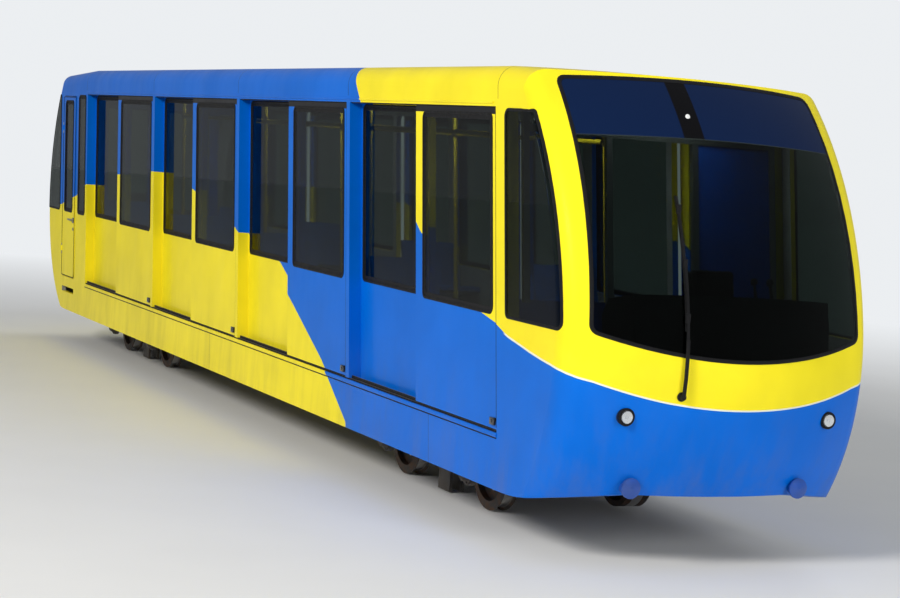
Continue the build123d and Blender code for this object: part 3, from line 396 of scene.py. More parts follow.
LAMINATE = plain("bulkhead_laminate", (0.004, 0.065, 0.42), 0.36, scale=50.0, grain=0.05, coat=0.2)
DIFFUSER = plain("light_diffuser", (0.78, 0.79, 0.78), 0.45, scale=50.0, spread=0.04, grain=0.05)
BUFFER = plain("buffer_paint", (0.005, 0.075, 0.40), 0.35, scale=26.0, grain=0.12,
               second=(0.03, 0.05, 0.16), coat=0.2)
CAP = plain("axle_cap", (0.085, 0.080, 0.075), 0.5, metal=0.5, scale=30.0, grain=0.25,
            second=(0.05, 0.035, 0.025))
DECK = ribbed("deck_rubber", (0.050, 0.052, 0.055))
WHEEL = wheel_steel("wheel_steel")


def dress(name, mat):
    """Gives a CAD node one material."""
    mesh = nodes[name].data
    mesh.materials.clear()
    mesh.materials.append(mat)


def dress_two(name, outer, inner, is_inner):
    """Gives a CAD node two materials, the second one on the faces that a test picks."""
    mesh = nodes[name].data
    mesh.materials.clear()
    mesh.materials.append(outer)
    mesh.materials.append(inner)
    for poly in mesh.polygons:
        poly.material_index = 1 if is_inner(poly.center, poly.normal) else 0


def wall_inner(centre, normal):
    """Faces of a side wall that look into the cabin."""
    return normal.y * centre.y < 0 and abs(centre.y) < CABIN_HALF + 0.01


def nose_inner(centre, normal):
    """Faces of a nose that look toward its portal, apart from the portal's outer rim."""
    station = centre.x + (centre.z - BELT) * LEAN
    at_portal = min(abs(station - P1), abs(station - P5)) < 0.15
    if at_portal and abs(normal.x) > 0.8 and abs(centre.y) > CABIN_HALF + 0.02:
        return False
    x = at(P5 if centre.x > 0 else P1, centre.z) * 0.96
    away = centre - Vector((x, 0.0, min(centre.z, 2.4)))
    reach = sum(abs(a * n) for a, n in zip(away, normal))
    return away.dot(normal) < 0 and reach > 0.05


def roof_inner(centre, normal):
    """Faces of the roof that look down or into the cabin."""
    return normal.z < -0.3 or (abs(centre.y) < CABIN_HALF + 0.005 and normal.y * centre.y < 0)


def door_handle(centre, normal):
    """Faces of a cab door's handle, which stands out from the leaf."""
    return abs(centre.y) > HALF_W + CAB_PROUD + 0.0005 and abs(centre.z - HANDLE_Z) < 0.060


def sill_side(centre, normal):
    """Faces of the sill and guides that look sideways."""
    return abs(normal.y) > 0.6


for side in SIDES:
    dress_two(f"side_wall_{side}", PAINT, TRIM, wall_inner)
    dress_two(f"cab_door_{side}", PAINT, STEEL, door_handle)
    dress(f"cab_glass_{side}", GLASS)
    for number in range(1, BAYS + 1):
        dress(f"leaf_{side}_{number}", LEAF_PAINT_SHADED_HEAD)
        dress(f"leaf_glass_{side}_{number}", GLASS)
for name in ("nose_down", "nose_up"):
    dress_two(name, PAINT, TRIM, nose_inner)
dress_two("roof", PAINT, TRIM, roof_inner)
dress_two("guide_rails", LEDGE, RUBBER, sill_side)
for name, mat in (("skirts", PAINT), ("underframe", DARK), ("floor_deck", DECK), ("windscreens", SCREEN),
                  ("fixed_glass", GLASS), ("buffers", BUFFER), ("lamps", LAMP_BODY), ("rope_socket", DARK),
                  ("seats", SEAT), ("stanchions", POLE), ("partitions", LAMINATE), ("desks", DESK),
                  ("wipers", RUBBER)):
    dress(name, mat)
for end_name in ENDS:
    dress(f"bogie_{end_name}", DARK)
    dress(f"rail_brake_{end_name}", DARK)
    dress(f"wheelset_{end_name}_a", WHEEL)
    dress(f"wheelset_{end_name}_b", WHEEL)

# Mesh helpers


def piece(name, bm, mat, body, smooth=True):
    """Turns a bmesh into an object that rides on a body."""
    bmesh.ops.recalc_face_normals(bm, faces=bm.faces)
    mesh = bpy.data.meshes.new(name)
    bm.to_mesh(mesh)
    bm.free()
    obj = bpy.data.objects.new(name, mesh)
    bpy.context.scene.collection.objects.link(obj)
    mesh.materials.append(mat)
    if smooth:
        mesh.shade_smooth()
        mesh.set_sharp_from_angle(angle=math.radians(35))
    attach(obj, body)
    return obj


def rounded(points, radius, steps=5):
    """Closed outline with its sharp corners turned into arcs."""
    result = []
    count = len(points)
    for i, corner in enumerate(points):
        p = Vector(corner)
        a = Vector(points[i - 1]) - p
        b = Vector(points[(i + 1) % count]) - p
        angle = a.angle(b)
        if angle > math.radians(160):
            result.append(tuple(p))
            continue
        cut = radius / math.tan(angle / 2)
        centre = p + (a.normalized() + b.normalized()).normalized() * (radius / math.sin(angle / 2))
        start = p + a.normalized() * cut - centre
        turn = math.pi - angle
        sign = 1 if start.x * (p - centre).y - start.y * (p - centre).x > 0 else -1
        for k in range(steps + 1):
            t = sign * turn * k / steps
            result.append((centre.x + start.x * math.cos(t) - start.y * math.sin(t),
                           centre.y + start.x * math.sin(t) + start.y * math.cos(t)))
    return result


def inset(points, distance):
    """Outline moved inward by a distance, point by point."""
    count = len(points)
    area = sum(points[i - 1][0] * points[i][1] - points[i][0] * points[i - 1][1] for i in range(count))
    sign = 1 if area > 0 else -1
    result = []
    for i, p in enumerate(points):
        before = Vector(points[i - 1])
        here = Vector(p)
        after = Vector(points[(i + 1) % count])
        n1 = Vector((-(here - before).y, (here - before).x)).normalized()
        n2 = Vector((-(after - here).y, (after - here).x)).normalized()
        mean = (n1 + n2).normalized()
        result.append(tuple(here + mean * (sign * distance / max(mean.dot(n1), 0.5))))
    return result


def ring(bm, outline, profile, place):
    """Sweeps a profile of (inset, lift) points round an outline; place turns (u, v, lift) into a point."""
    loops = [[bm.verts.new(place(u, v, lift)) for u, v in inset(outline, distance)]
             for distance, lift in profile]
    loops.append(loops[0])
    count = len(outline)
    for first, second in zip(loops, loops[1:]):
        for i in range(count):
            j = (i + 1) % count
            bm.faces.new((first[i], first[j], second[j], second[i]))


def plumb(s0, s1, z0, z1):
    """Corners of a panel between two plumb edges."""
    return [(at(s0, z0), z0), (at(s1, z0), z0), (at(s1, z1), z1), (at(s0, z1), z1)]


def nose_side_outline(end):
    """Outline of a nose's side window."""
    levels = [BELT + (HEAD - BELT) * i / 14 for i in range(15)]
    front = [(nose_x(end, z) - end * FRONT_POST, z) for z in levels]
    return front + [(at(QUARTERS[end], HEAD), HEAD), (at(QUARTERS[end], BELT), BELT)]


def screen_outline():
    """Outline of the windscreen as (y, z)."""
    bottom_r = (SCREEN_HALF ** 2 + SCREEN_DIP ** 2) / (2 * SCREEN_DIP)
    top_r = (SCREEN_HALF_TOP ** 2 + SCREEN_CROWN ** 2) / (2 * SCREEN_CROWN)
    bottom, top, sides = [], [], []
    for share in (-1 + 2 * i / 24 for i in range(25)):
        y = SCREEN_HALF * share
        bottom.append((y, SCREEN_LOW - SCREEN_DIP + bottom_r - math.sqrt(bottom_r ** 2 - y ** 2)))
        y = SCREEN_HALF_TOP * share
        top.append((-y, SCREEN_HIGH + SCREEN_CROWN - top_r + math.sqrt(top_r ** 2 - y ** 2)))
    for share in (k / 10 for k in range(1, 10)):
        sides.append((SCREEN_HALF - (SCREEN_HALF - SCREEN_HALF_TOP) * share,
                      SCREEN_LOW + (SCREEN_HIGH - SCREEN_LOW) * share))
    left = [(-y, z) for y, z in reversed(sides)]
    return bottom + sides + top + left


# Profiles that run round a pane: (inset from the opening's edge, lift off the face)
SEAL = [(-0.006, -0.001), (-0.005, 0.004), (0.000, 0.0065), (0.010, 0.0065), (0.015, 0.003),
        (0.016, -0.001)]
LEAF_SEAL = [(distance, lift * 0.8) for distance, lift in SEAL]
SCREEN_SEAL = [(-0.007, -0.002), (-0.006, 0.003), (0.0, 0.006), (0.012, 0.006), (0.018, 0.002),
               (0.019, -0.002)]
FRIT = [(0.012, 0.0002), (0.012, 0.0016), (0.042, 0.0016), (0.042, 0.0002)]
DOOR_EDGE = [(-0.004, 0.0005), (-0.004, 0.003), (0.004, 0.003), (0.004, 0.0005)]


def flat_place(side, y0):
    def place(u, v, lift):
        return (u, side * (y0 + lift), v)
    return place


def nose_side_place(end, side):
    def place(u, v, lift):
        back = end * (nose_x(end, v) - u)
        return (u, side * (side_y(back) + lift), v)
    return place


def screen_place(end):
    def place(u, v, lift):
        return (nose_x(end, v) - end * (bulge(u) - lift), u, v)
    return place


def join(bm, part, turn=None):
    """Adds a small mesh to a larger one."""
    if turn:
        bmesh.ops.transform(part, matrix=turn, verts=part.verts)
    mesh = bpy.data.meshes.new("part")
    part.to_mesh(mesh)
    part.free()
    bm.from_mesh(mesh)
    bpy.data.meshes.remove(mesh)


def box(bm, low, high, radius, turn=None):
    """Block between two corners with rounded edges."""
    part = bmesh.new()
    bmesh.ops.create_cube(part, size=1.0)
    size, middle = Vector(high) - Vector(low), (Vector(high) + Vector(low)) / 2
    for vert in part.verts:
        vert.co = Vector((vert.co.x * size.x, vert.co.y * size.y, vert.co.z * size.z)) + middle
    bmesh.ops.bevel(part, geom=list(part.edges), offset=radius, segments=3, affect="EDGES", profile=0.5)
    join(bm, part, turn)


def lathe(bm, profile, place, axis, steps=28):
    """Turns a line of (radius, height) points about an axis."""
    axis = Vector(axis).normalized()
    across = axis.orthogonal().normalized()
    other = axis.cross(across)
    rings = []
    for radius, height in profile:
        centre = Vector(place) + axis * height
        angles = [2 * math.pi * k / steps for k in range(steps if radius > 1e-6 else 1)]
        rings.append([bm.verts.new(centre + (across * math.cos(a) + other * math.sin(a)) * radius)
                      for a in angles])
    for first, second in zip(rings, rings[1:]):
        for k in range(steps):
            n = (k + 1) % steps
            if len(first) == 1:
                bm.faces.new((first[0], second[k], second[n]))
            elif len(second) == 1:
                bm.faces.new((first[k], first[n], second[0]))
            else:
                bm.faces.new((first[k], first[n], second[n], second[k]))


def tube(bm, points, radius, sides=10):
    """Round rod along a line of points."""
    points = [Vector(p) for p in points]
    rings = []
    for i, point in enumerate(points):
        ahead = (points[min(i + 1, len(points) - 1)] - points[max(i - 1, 0)]).normalized()
        across = ahead.cross(Vector((0, 0, 1)) if abs(ahead.z) < 0.9 else Vector((0, 1, 0))).normalized()
        other = ahead.cross(across)
        rings.append([bm.verts.new(point + (across * math.cos(a) + other * math.sin(a)) * radius)
                      for a in (2 * math.pi * k / sides for k in range(sides))])
    for first, second in zip(rings, rings[1:]):
        for k in range(sides):
            n = (k + 1) % sides
            bm.faces.new((first[k], first[n], second[n], second[k]))
    bm.faces.new(rings[0])
    bm.faces.new(rings[-1])


def strut(bm, profile, ends):
    """Joins two copies of a closed outline; ends hold its points at each end."""
    first, second = ([bm.verts.new(place(u, v)) for u, v in profile] for place in ends)
    for i in range(len(profile)):
        j = (i + 1) % len(profile)
        bm.faces.new((first[i], first[j], second[j], second[i]))
    bm.faces.new(first)
    bm.faces.new(second)


def moulding(bm, profile, x0, x1, side):
    """Outline of (y, z) points drawn along the car."""
    strut(bm, profile, [lambda y, z, x=x: (x, side * y, z) for x in (x0, x1)])


def upright(bm, profile, station, z0, z1, side):
    """Outline of (x offset, y) points drawn up a plumb line."""
    strut(bm, profile, [lambda dx, y, z=z: (at(station, z) + dx, side * y, z) for z in (z0, z1)])


def bump_strip(y, z, width, proud):
    """Outline of a strip with a rounded face, its middle at height z."""
    half = width / 2
    return [(y - 0.003, z - half), (y - 0.003, z + half), (y + proud * 0.5, z + half),
            (y + proud * 0.9, z + half * 0.6), (y + proud, z), (y + proud * 0.9, z - half * 0.6),
            (y + proud * 0.5, z - half)]


def bolts(bm, place, axis, ring_r, count, head_r, height, start=0.0):
    """Hexagon heads on a circle about an axis."""
    axis = Vector(axis).normalized()
    across = axis.orthogonal().normalized()
    other = axis.cross(across)
    for k in range(count):
        a = start + 2 * math.pi * k / count
        spot = Vector(place) + (across * math.cos(a) + other * math.sin(a)) * ring_r
        lathe(bm, [(head_r * 1.5, -0.001), (head_r * 1.5, 0.0015), (head_r * 1.45, 0.002), (head_r, 0.002),
                   (head_r, height), (head_r * 0.85, height + 0.001), (0.0, height + 0.001)], spot, axis, 6)


# Seals and printed borders of the panes, with their bodies
for side_name, side in SIDES.items():
    bm = bmesh.new()
    for post, mid in zip(POSTS, MIDS):
        outline = rounded(plumb(post + POST + PILLAR, mid - PILLAR, BELT, HEAD), PANE_CORNER)
        ring(bm, outline, SEAL, flat_place(side, WALL_OUT))
        ring(bm, outline, FRIT, flat_place(side, WALL_OUT - 0.004))
    outline = rounded(plumb(P1 - UP_WINDOW, P1, BELT, HEAD), PANE_CORNER)
    ring(bm, outline, SEAL, flat_place(side, HALF_W))
    ring(bm, outline, FRIT, flat_place(side, HALF_W - 0.002))
    for end in ENDS.values():
        outline = rounded(nose_side_outline(end), PANE_CORNER)
        ring(bm, outline, SEAL, nose_side_place(end, side))
    piece(f"window_seals_{side_name}", bm, RUBBER, "car")
    for i in range(BAYS):
        bm = bmesh.new()
        corners = plumb(MIDS[i] + LEAF_FRONT, POSTS[i + 1] - POST, BELT, CANTRAIL - LEAF_HEAD)
        outline = rounded(corners, PANE_CORNER)
        ring(bm, outline, LEAF_SEAL, flat_place(side, HALF_W - LEAF_INSET))
        ring(bm, outline, FRIT, flat_place(side, HALF_W - LEAF_INSET - 0.003))
        piece(f"leaf_seal_{side_name}_{i + 1}", bm, RUBBER, f"door_{side_name}_{i + 1}")
    bm = bmesh.new()
    corners = plumb(CAB_FRONT + CAB_STILE, CAB_BACK - CAB_STILE, BELT, CANTRAIL - CAB_GLASS_HEAD)
    outline = rounded(corners, PANE_CORNER)
    ring(bm, outline, SEAL, flat_place(side, HALF_W + CAB_PROUD))
    ring(bm, outline, FRIT, flat_place(side, HALF_W))
    piece(f"cab_seal_{side_name}", bm, RUBBER, f"cab_door_{side_name}")

bm = bmesh.new()
for end in ENDS.values():
    ring(bm, rounded(screen_outline(), SCREEN_CORNER), SCREEN_SEAL, screen_place(end))
piece("screen_seals", bm, RUBBER, "car")

# Rubber edges of the sliding leaves and cab doors: outlines as (x offset, y) and as (y, z)
LEAF_REAR = [(-0.012, 1.1215), (-0.012, 1.1240), (0.002, 1.1245), (0.006, 1.1180), (0.006, 1.0860),
             (0.002, 1.0820), (-0.0005, 1.0840), (-0.0005, 1.1215)]
LEAF_LEAD = [(0.0005, 1.1180), (0.0005, 1.0900), (-0.004, 1.0920), (-0.005, 1.1040), (-0.004, 1.1160)]
LEAF_SWEEP = [(1.1110, 0.7455), (1.1110, 0.7560), (1.1205, 0.7560), (1.1185, 0.7455)]
LEAF_BOTTOM, LEAF_TOP, SWEEP_Z = 0.762, 2.834, 0.752
CATCH_Z, CATCH_Y, CATCH_REACH, CATCH_HALF_W, CATCH_HALF_H = 0.800, 1.118, 1.140, 0.035, 0.025
LOCK_Z = 1.300
for side_name, side in SIDES.items():
    for i in range(BAYS):
        bm = bmesh.new()
        upright(bm, LEAF_REAR, POSTS[i + 1] - 0.008, LEAF_BOTTOM, LEAF_TOP, side)
        upright(bm, LEAF_LEAD, MIDS[i], LEAF_BOTTOM, LEAF_TOP, side)
        x0, x1 = at(MIDS[i], SWEEP_Z) + 0.010, at(POSTS[i + 1], SWEEP_Z) - 0.020
        moulding(bm, LEAF_SWEEP, x0, x1, side)
        piece(f"leaf_rubber_{side_name}_{i + 1}", bm, RUBBER, f"door_{side_name}_{i + 1}")
        bm = bmesh.new()
        x = at(POSTS[i + 1], CATCH_Z) - 0.060
        low, high = sorted((side * CATCH_Y, side * CATCH_REACH))
        box(bm, (x - CATCH_HALF_W, low, CATCH_Z - CATCH_HALF_H),
            (x + CATCH_HALF_W, high, CATCH_Z + CATCH_HALF_H), 0.006)
        lathe(bm, [(0.012, 0.0), (0.012, 0.003), (0.009, 0.004), (0.0, 0.004)],
              (x, side * CATCH_REACH, CATCH_Z), (0, side, 0), 16)
        piece(f"leaf_catch_{side_name}_{i + 1}", bm, LAMP_BODY, f"door_{side_name}_{i + 1}")
    bm = bmesh.new()
    outline = rounded(plumb(CAB_FRONT + 0.001, CAB_BACK - 0.001, SILL + 0.008, CANTRAIL - CAB_HEAD), 0.02)
    ring(bm, outline, DOOR_EDGE, flat_place(side, HALF_W + CAB_PROUD))
    piece(f"cab_rubber_{side_name}", bm, RUBBER, f"cab_door_{side_name}")
    bm = bmesh.new()
    x = at(CAB_BACK - CAB_STILE / 2, LOCK_Z)
    lathe(bm, [(0.020, 0.0), (0.020, 0.003), (0.018, 0.004), (0.009, 0.004), (0.009, 0.008), (0.0, 0.008)],
          (x, side * (HALF_W + CAB_PROUD), LOCK_Z), (0, side, 0), 24)
    spot = (x, side * (HALF_W + 2 * CAB_PROUD), HANDLE_Z)
    bolts(bm, spot, (0, side, 0), 0.021, 4, 0.0025, 0.001, math.pi / 4)
    piece(f"cab_lock_{side_name}", bm, STEEL, f"cab_door_{side_name}")

# Mouldings along the body
HEAD_SWEEP = [(1.1110, 2.8400), (1.1110, 2.8490), (1.1190, 2.8490), (1.1170, 2.8400)]
for side_name, side in SIDES.items():
    bm = bmesh.new()
    x0, x1 = at(P1, 0.72) + POST, at(P5, 0.72)
    moulding(bm, bump_strip(HALF_W, 0.7155, 0.029, 0.0065), x0, x1, side)
    moulding(bm, bump_strip(HALF_W, 2.872, 0.016, 0.0070), -5.150, 5.480, side)
    piece(f"body_mouldings_{side_name}", bm, PAINT, "car")
    bm = bmesh.new()
    moulding(bm, bump_strip(HALF_W, 0.6960, 0.008, 0.0040), x0, x1, side)
    for post in POSTS[:-1]:
        moulding(bm, HEAD_SWEEP, at(post, 2.845) + 0.075, at(post + BAY, 2.845) - 0.006, side)
    piece(f"body_rubbers_{side_name}", bm, RUBBER, "car")

# Lamps: bezel, dished reflector with its bulb, and clear lens, turned from (radius, height)
BEZEL = [(0.0515, -0.030), (0.0560, -0.022), (0.0565, 0.000), (0.0530, 0.0045), (0.0440, 0.0050),
         (0.0400, 0.0015), (0.0395, 0.0002)]
REFLECTOR = [(0.0395, 0.0035), (0.0340, 0.0018), (0.0240, 0.0008), (0.0110, 0.0004), (0.0100, 0.0030),
             (0.0070, 0.0045), (0.0, 0.0050)]
LAMP_LENS = [(0.0405, 0.0045), (0.0380, 0.0068), (0.0280, 0.0090), (0.0140, 0.0102), (0.0, 0.0105)]
bezels, dishes, lenses = bmesh.new(), bmesh.new(), bmesh.new()
for end in ENDS.values():
    face = nose_x(end, LAMP_Z) - end * bulge(LAMP_Y) + end * 0.022
    for side in SIDES.values():
        spot = (face, side * LAMP_Y, LAMP_Z)
        axis = (end, 0, 0)
        lathe(bezels, BEZEL, spot, axis, 40)
        lathe(dishes, REFLECTOR, spot, axis, 40)
        lathe(lenses, LAMP_LENS, spot, axis, 40)
        bolts(bezels, spot, axis, 0.0485, 3, 0.0025, 0.0055, 0.5)
piece("lamp_bezels", bezels, RUBBER, "car")
piece("lamp_reflectors", dishes, CHROME, "car")
piece("lamp_lenses", lenses, LENS, "car")

# Wipers: pivot cap, arm shoulder and blade clips; and the small round camera window over the glass
PIVOT_CAP = [(0.030, 0.0), (0.030, 0.004), (0.026, 0.010), (0.019, 0.012), (0.019, 0.030), (0.016, 0.034),
             (0.0, 0.034)]
bm = bmesh.new()
eyes = bmesh.new()
for end in ENDS.values():
    y = -end * WIPER_Y
    back = bulge(WIPER_Y)
    x = nose_x(end, WIPER_Z) - end * back
    lathe(bm, PIVOT_CAP, (x, y, WIPER_Z), (end, 0, 0), 28)
    shoulder = [(nose_x(end, z) - end * (back - 0.030), y, z) for z in (WIPER_Z, 1.25, 1.37, 1.49)]
    tube(bm, shoulder, 0.0125)
    for z in (1.62, 1.95, 2.28):
        middle = nose_x(end, z) - end * (back - 0.024)
        box(bm, (middle - 0.010, y - 0.015, z - 0.030), (middle + 0.010, y + 0.015, z + 0.030), 0.004)
    spot = (nose_x(end, CAMERA_Z) - end * (bulge(CAMERA_Y) - 0.001), -end * CAMERA_Y, CAMERA_Z)
    lathe(eyes, [(0.017, 0.0), (0.017, 0.003), (0.012, 0.005), (0.0, 0.0055)], spot, (end, 0, 0.4), 24)
piece("wiper_fittings", bm, RUBBER, "car")
piece("camera_windows", eyes, DIFFUSER, "car")

# Cabin: ceiling lights, frames and upper panel of the downhill partition, collars on the poles
bm = bmesh.new()
for side in SIDES.values():
    low, high = sorted((side * 0.56, side * 0.72))
    for post in POSTS[:-1]:
        x0 = at(post, 3.07) + 0.25
        box(bm, (x0, low, 3.062), (x0 + 2.18, high, 3.090), 0.010)
piece("ceiling_lights", bm, DIFFUSER, "car")

PARTITION = P5 + 0.092


def partition_bar(bm, half, z0, z1, y0, y1):
    """Bar across the car in the partition's plane; half is half its thickness."""
    strut(bm, [(-half, z0), (half, z0), (half, z1), (-half, z1)],
          [lambda dx, z, y=y: (at(PARTITION, z) + dx, y, z) for y in (y0, y1)])


bm = bmesh.new()
for side in SIDES.values():
    for y in (0.335, 0.955):
        upright(bm, [(-0.020, y - 0.022), (0.020, y - 0.022), (0.020, y + 0.022), (-0.020, y + 0.022)],
                PARTITION, 1.585, 3.02, side)
partition_bar(bm, 0.020, 2.70, 2.745, -0.96, 0.96)
piece("partition_frames", bm, ALLOY, "car")
bm = bmesh.new()
partition_bar(bm, 0.006, 1.60, 2.72, 0.345, 0.945)
piece("partition_panel", bm, LAMINATE, "car", smooth=False)

POLE_FOOT = [(0.0175, 0.0), (0.045, 0.001), (0.045, 0.006), (0.030, 0.012), (0.0215, 0.030),
             (0.0183, 0.031)]
bm = bmesh.new()
for side in SIDES.values():
    for mid in MIDS:
        foot_x = at(mid, FLOOR) + 0.050 * COS_A
        foot_z = FLOOR + 0.050 * SIN_A
        joint = (foot_x - (POLE_JOINT_Z - foot_z) * LEAN, side * POLE_Y, POLE_JOINT_Z)
        lathe(bm, POLE_FOOT, (foot_x, side * POLE_Y, foot_z + 0.002), (-SIN_A, 0, COS_A), 24)
        for half, axis in ((0.034, (-SIN_A, 0, COS_A)), (0.040, (1, 0, 0))):
            lathe(bm, [(0.0183, -half), (0.0240, 0.002 - half), (0.0240, half - 0.002), (0.0183, half)],
                  joint, axis, 24)
piece("pole_collars", bm, STEEL, "car")

# Running gear: axle caps and bolts on the bogies, hub bolts on the wheels, pipes and pins of the brakes
AXLE_CAP = [(0.0, 0.040), (0.051, 0.040), (0.056, 0.034), (0.056, 0.0), (0.088, 0.0), (0.088, 0.010),
            (0.072, 0.014), (0.066, 0.040), (0.058, 0.048), (0.0, 0.050)]
JAW_PIN = [(0.0, -0.004), (0.013, -0.003), (0.013, 0.0), (0.010, 0.001), (0.010, 0.122), (0.013, 0.123),
           (0.013, 0.126), (0.0, 0.127)]
for end_name, end in ENDS.items():
    middle = end * BOGIE_X
    bm = bmesh.new()
    for x in (middle - HALF_BASE, middle + HALF_BASE):
        for side in SIDES.values():
            lathe(bm, AXLE_CAP, (x, side * AXLE_BOX_Y, AXLE_Z), (0, side, 0), 32)
            bolts(bm, (x, side * (AXLE_BOX_Y + 0.010), AXLE_Z), (0, side, 0), 0.079, 6, 0.007, 0.007)
    for side in SIDES.values():
        for dx in (-0.28, -0.10, 0.10, 0.28):
            for z in (0.335, 0.470):
                bolts(bm, (middle + dx, side * AXLE_BOX_Y, z), (0, side, 0), 0.0, 1, 0.011, 0.010)
    piece(f"axle_caps_{end_name}", bm, CAP, f"bogie_{end_name}")
    bm = bmesh.new()
    for side in SIDES.values():
        y = side * WHEEL_Y
        for dx in (-0.070, 0.0, 0.070):
            lathe(bm, JAW_PIN, (middle + dx, y - 0.0615, 0.215), (0, 1, 0), 16)
        pipe = [(-0.11, y, 0.36), (-0.16, y, 0.37), (-0.18, y - side * 0.02, 0.40),
                (-0.18, y - side * 0.05, 0.44), (-0.18, side * 0.30, 0.46), (-0.16, side * 0.27, 0.46),
                (-0.138, side * 0.26, 0.46)]
        tube(bm, [(middle + dx, y, z) for dx, y, z in pipe], 0.009)
    piece(f"brake_fittings_{end_name}", bm, STEEL, f"bogie_{end_name}")
    for tag, axle in (("a", HALF_BASE), ("b", -HALF_BASE)):
        bm = bmesh.new()
        for y in (-WHEEL_Y, WHEEL_Y):
            for away in (1, -1):
                spot = (middle + axle, y + away * 0.0131, AXLE_Z)
                bolts(bm, spot, (0, away, 0), 0.125, 8, 0.009, 0.009)
        piece(f"hub_bolts_{end_name}_{tag}", bm, STEEL, f"wheelset_{end_name}_{tag}")

# Driver's desks: instrument hood, brake levers and buttons, level as the desk's top is.
# Each end gives the x of its hood, then x and z of a point on the top.
DESKS = {"down": (6.600, 6.513, 1.686), "up": (-6.630, -6.954, 1.470)}
LEVER = [(0.035, -0.001), (0.035, 0.012), (0.012, 0.018), (0.009, 0.120), (0.022, 0.128), (0.024, 0.150),
         (0.014, 0.166), (0.0, 0.168)]
BUTTON = [(0.011, -0.001), (0.011, 0.006), (0.008, 0.011), (0.0, 0.012)]
for end_name, end in ENDS.items():
    x, top_x, top_z = DESKS[end_name]
    z = top_z + (x - top_x) * LEAN
    level = Matrix.Translation((x, 0, z)) @ Matrix.Rotation(-SLOPE, 4, "Y")
    bm = bmesh.new()
    box(bm, (-0.07, -0.20, -0.002), (0.09, 0.10, 0.190), 0.025, level)
    for y in (0.32, 0.44):
        lathe(bm, LEVER, level @ Vector((0, end * y, 0)), (-SIN_A - end * 0.2, 0, 1), 20)
    piece(f"desk_hood_{end_name}", bm, DESK, "car")
    bm = bmesh.new()
    for k in range(6):
        spot = level @ Vector((0, -end * (0.30 + 0.05 * k), 0))
        lathe(bm, BUTTON, spot, (-SIN_A, 0, COS_A), 16)
    piece(f"desk_buttons_{end_name}", bm, DIFFUSER, "car")

# Camera, light and floor

# Place and axes of the camera that took the photograph, with the pixel that this one looks at
CAMERA = Vector((P5 + 11.99, -7.0, 2.546))
RIGHT = Vector((0.4792, 0.8733, 0.0879))
DOWN = Vector((0.1690, 0.0064, -0.9856))
AHEAD = Vector((-0.8613, 0.4872, -0.1446))
FOCAL, PHOTO_W, PHOTO_H = 683.0, 900.0, 598.0
AIM = (398.0, 245.0)
ZOOM, SENSOR = 3.0, 36.0
BACKDROP, BACKDROP_LEVEL = (0.90, 0.925, 0.95), 0.93

camera_data = bpy.data.cameras.new("camera")
camera_data.sensor_width = SENSOR
camera_data.lens = SENSOR * FOCAL * ZOOM / PHOTO_W
camera_data.clip_end = 400.0
camera = bpy.data.objects.new("camera", camera_data)
bpy.context.scene.collection.objects.link(camera)
bpy.context.scene.camera = camera
aside = RIGHT * (AIM[0] - PHOTO_W / 2) + DOWN * (AIM[1] - PHOTO_H / 2)
look = (AHEAD * FOCAL + aside).normalized()
side_axis = look.cross(Vector((-SIN_A, 0.0, COS_A))).normalized()
up_axis = side_axis.cross(look)
turn = Matrix((side_axis, up_axis, -look)).transposed()
camera.matrix_world = Matrix.Translation(CAMERA) @ turn.to_4x4()


def lamp(name, place, target, size, power, colour, gleam=False):
    """Round area lamp; with gleam it shows only in gloss, and otherwise only in diffuse light."""
    data = bpy.data.lights.new(name, "AREA")
    data.shape = "DISK"
    data.size = size
    data.energy = power
    data.color = colour
    obj = bpy.data.objects.new(name, data)
    bpy.context.scene.collection.objects.link(obj)
    obj.location = place
    obj.rotation_mode = "QUATERNION"
    obj.rotation_quaternion = (Vector(place) - Vector(target)).to_track_quat("Z", "Y")
    obj.visible_glossy = gleam
    obj.visible_diffuse = not gleam
    obj.visible_transmission = False
    obj.visible_camera = False


KEY, SUNLIGHT = (14.0, -22.0, 13.5), (1.0, 0.975, 0.93)
lamp("key", KEY, (1.0, 0.0, 1.2), 7.0, 5400.0, SUNLIGHT)
lamp("key_gleam", KEY, (1.0, 0.0, 1.2), 7.0, 1500.0, SUNLIGHT, gleam=True)
lamp("front_fill", (26.0, 3.0, 7.0), (4.0, 0.0, 1.4), 9.0, 2000.0, (0.96, 0.98, 1.0))
for station in (P1 - 0.9, *MIDS, P5 + 0.3):
    x = at(station, 2.95)
    lamp("cabin_fill", (x, 0.0, 2.95), (x, 0.0, 1.0), 0.8, 24.0, (1.0, 0.99, 0.96))
lamp("back_fill", (-16.0, 18.0, 14.0), (-2.0, 0.0, 1.4), 10.0, 1400.0, (0.94, 0.97, 1.0))

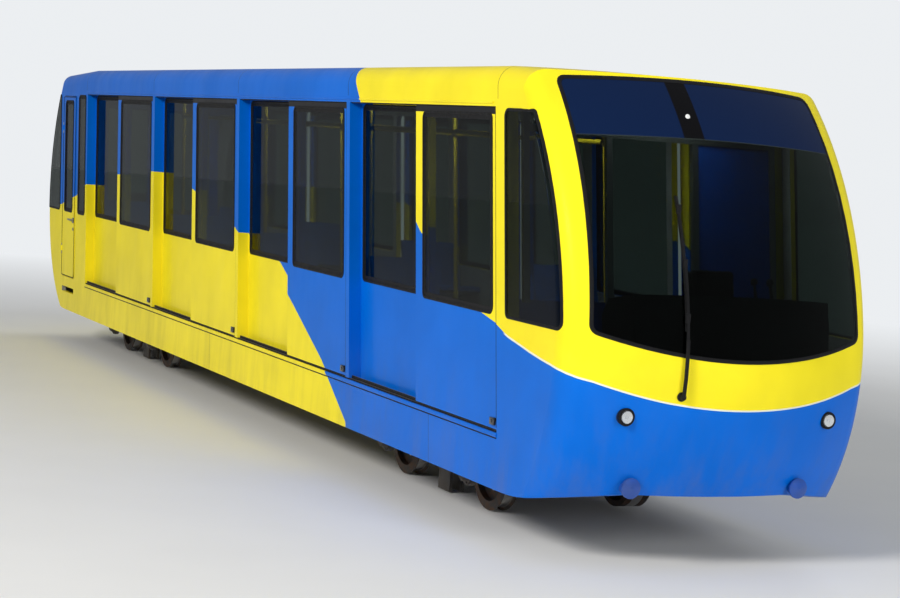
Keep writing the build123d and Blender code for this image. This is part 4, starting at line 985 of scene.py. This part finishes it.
world = bpy.data.worlds.new("world")
bpy.context.scene.world = world
world.use_nodes = True
make = Maker(world.node_tree)
background = world.node_tree.nodes["Background"]
path = make.node("LightPath")
in_gloss = make.math("MULTIPLY", path.outputs["Is Glossy Ray"], 0.15)
in_glass = make.math("MULTIPLY", path.outputs["Is Transmission Ray"], 0.9)
seen = make.math("MAXIMUM", path.outputs["Is Camera Ray"], make.math("MAXIMUM", in_gloss, in_glass))
make.put(background.inputs["Color"], BACKDROP)
strength = make.ramp(seen, 0.0, 1.0, 0.30, BACKDROP_LEVEL)
world.node_tree.links.new(strength, background.inputs["Strength"])

# The floor fades into the backdrop far from the car.
bm = bmesh.new()
bmesh.ops.create_circle(bm, cap_ends=True, segments=96, radius=90.0)
mesh = bpy.data.meshes.new("floor")
bm.to_mesh(mesh)
bm.free()
floor = bpy.data.objects.new("floor", mesh)
bpy.context.scene.collection.objects.link(floor)
floor.location.z = -0.002
floor_mat, floor_tree, floor_shader = material("floor")
make = Maker(floor_tree)
mottle = make.mix(make.ramp(make.noise(0.8, 3.0), 0.3, 0.7), (0.86, 0.86, 0.855), (0.84, 0.84, 0.835))
floor_tree.links.new(mottle, floor_shader.inputs["Base Color"])
floor_shader.inputs["Roughness"].default_value = 0.9
floor_shader.inputs["Specular IOR Level"].default_value = 0.2
away = make.node("VectorMath", operation="LENGTH")
make.put(away.inputs[0], make.spot()[0])
path = make.node("LightPath")
seen = make.math("MAXIMUM", path.outputs["Is Camera Ray"], path.outputs["Is Transmission Ray"])
fade = make.math("MULTIPLY", make.ramp(away.outputs["Value"], 8.5, 20.0), seen)
far = make.node("Emission")
make.put(far.inputs["Color"], BACKDROP)
far.inputs["Strength"].default_value = BACKDROP_LEVEL
blend = make.node("MixShader")
floor_tree.links.new(fade, blend.inputs[0])
floor_tree.links.new(floor_shader.outputs[0], blend.inputs[1])
floor_tree.links.new(far.outputs[0], blend.inputs[2])
floor_tree.links.new(blend.outputs[0], floor_tree.nodes["Material Output"].inputs["Surface"])
mesh.materials.append(floor_mat)

bpy.context.scene.view_settings.view_transform = "Standard"
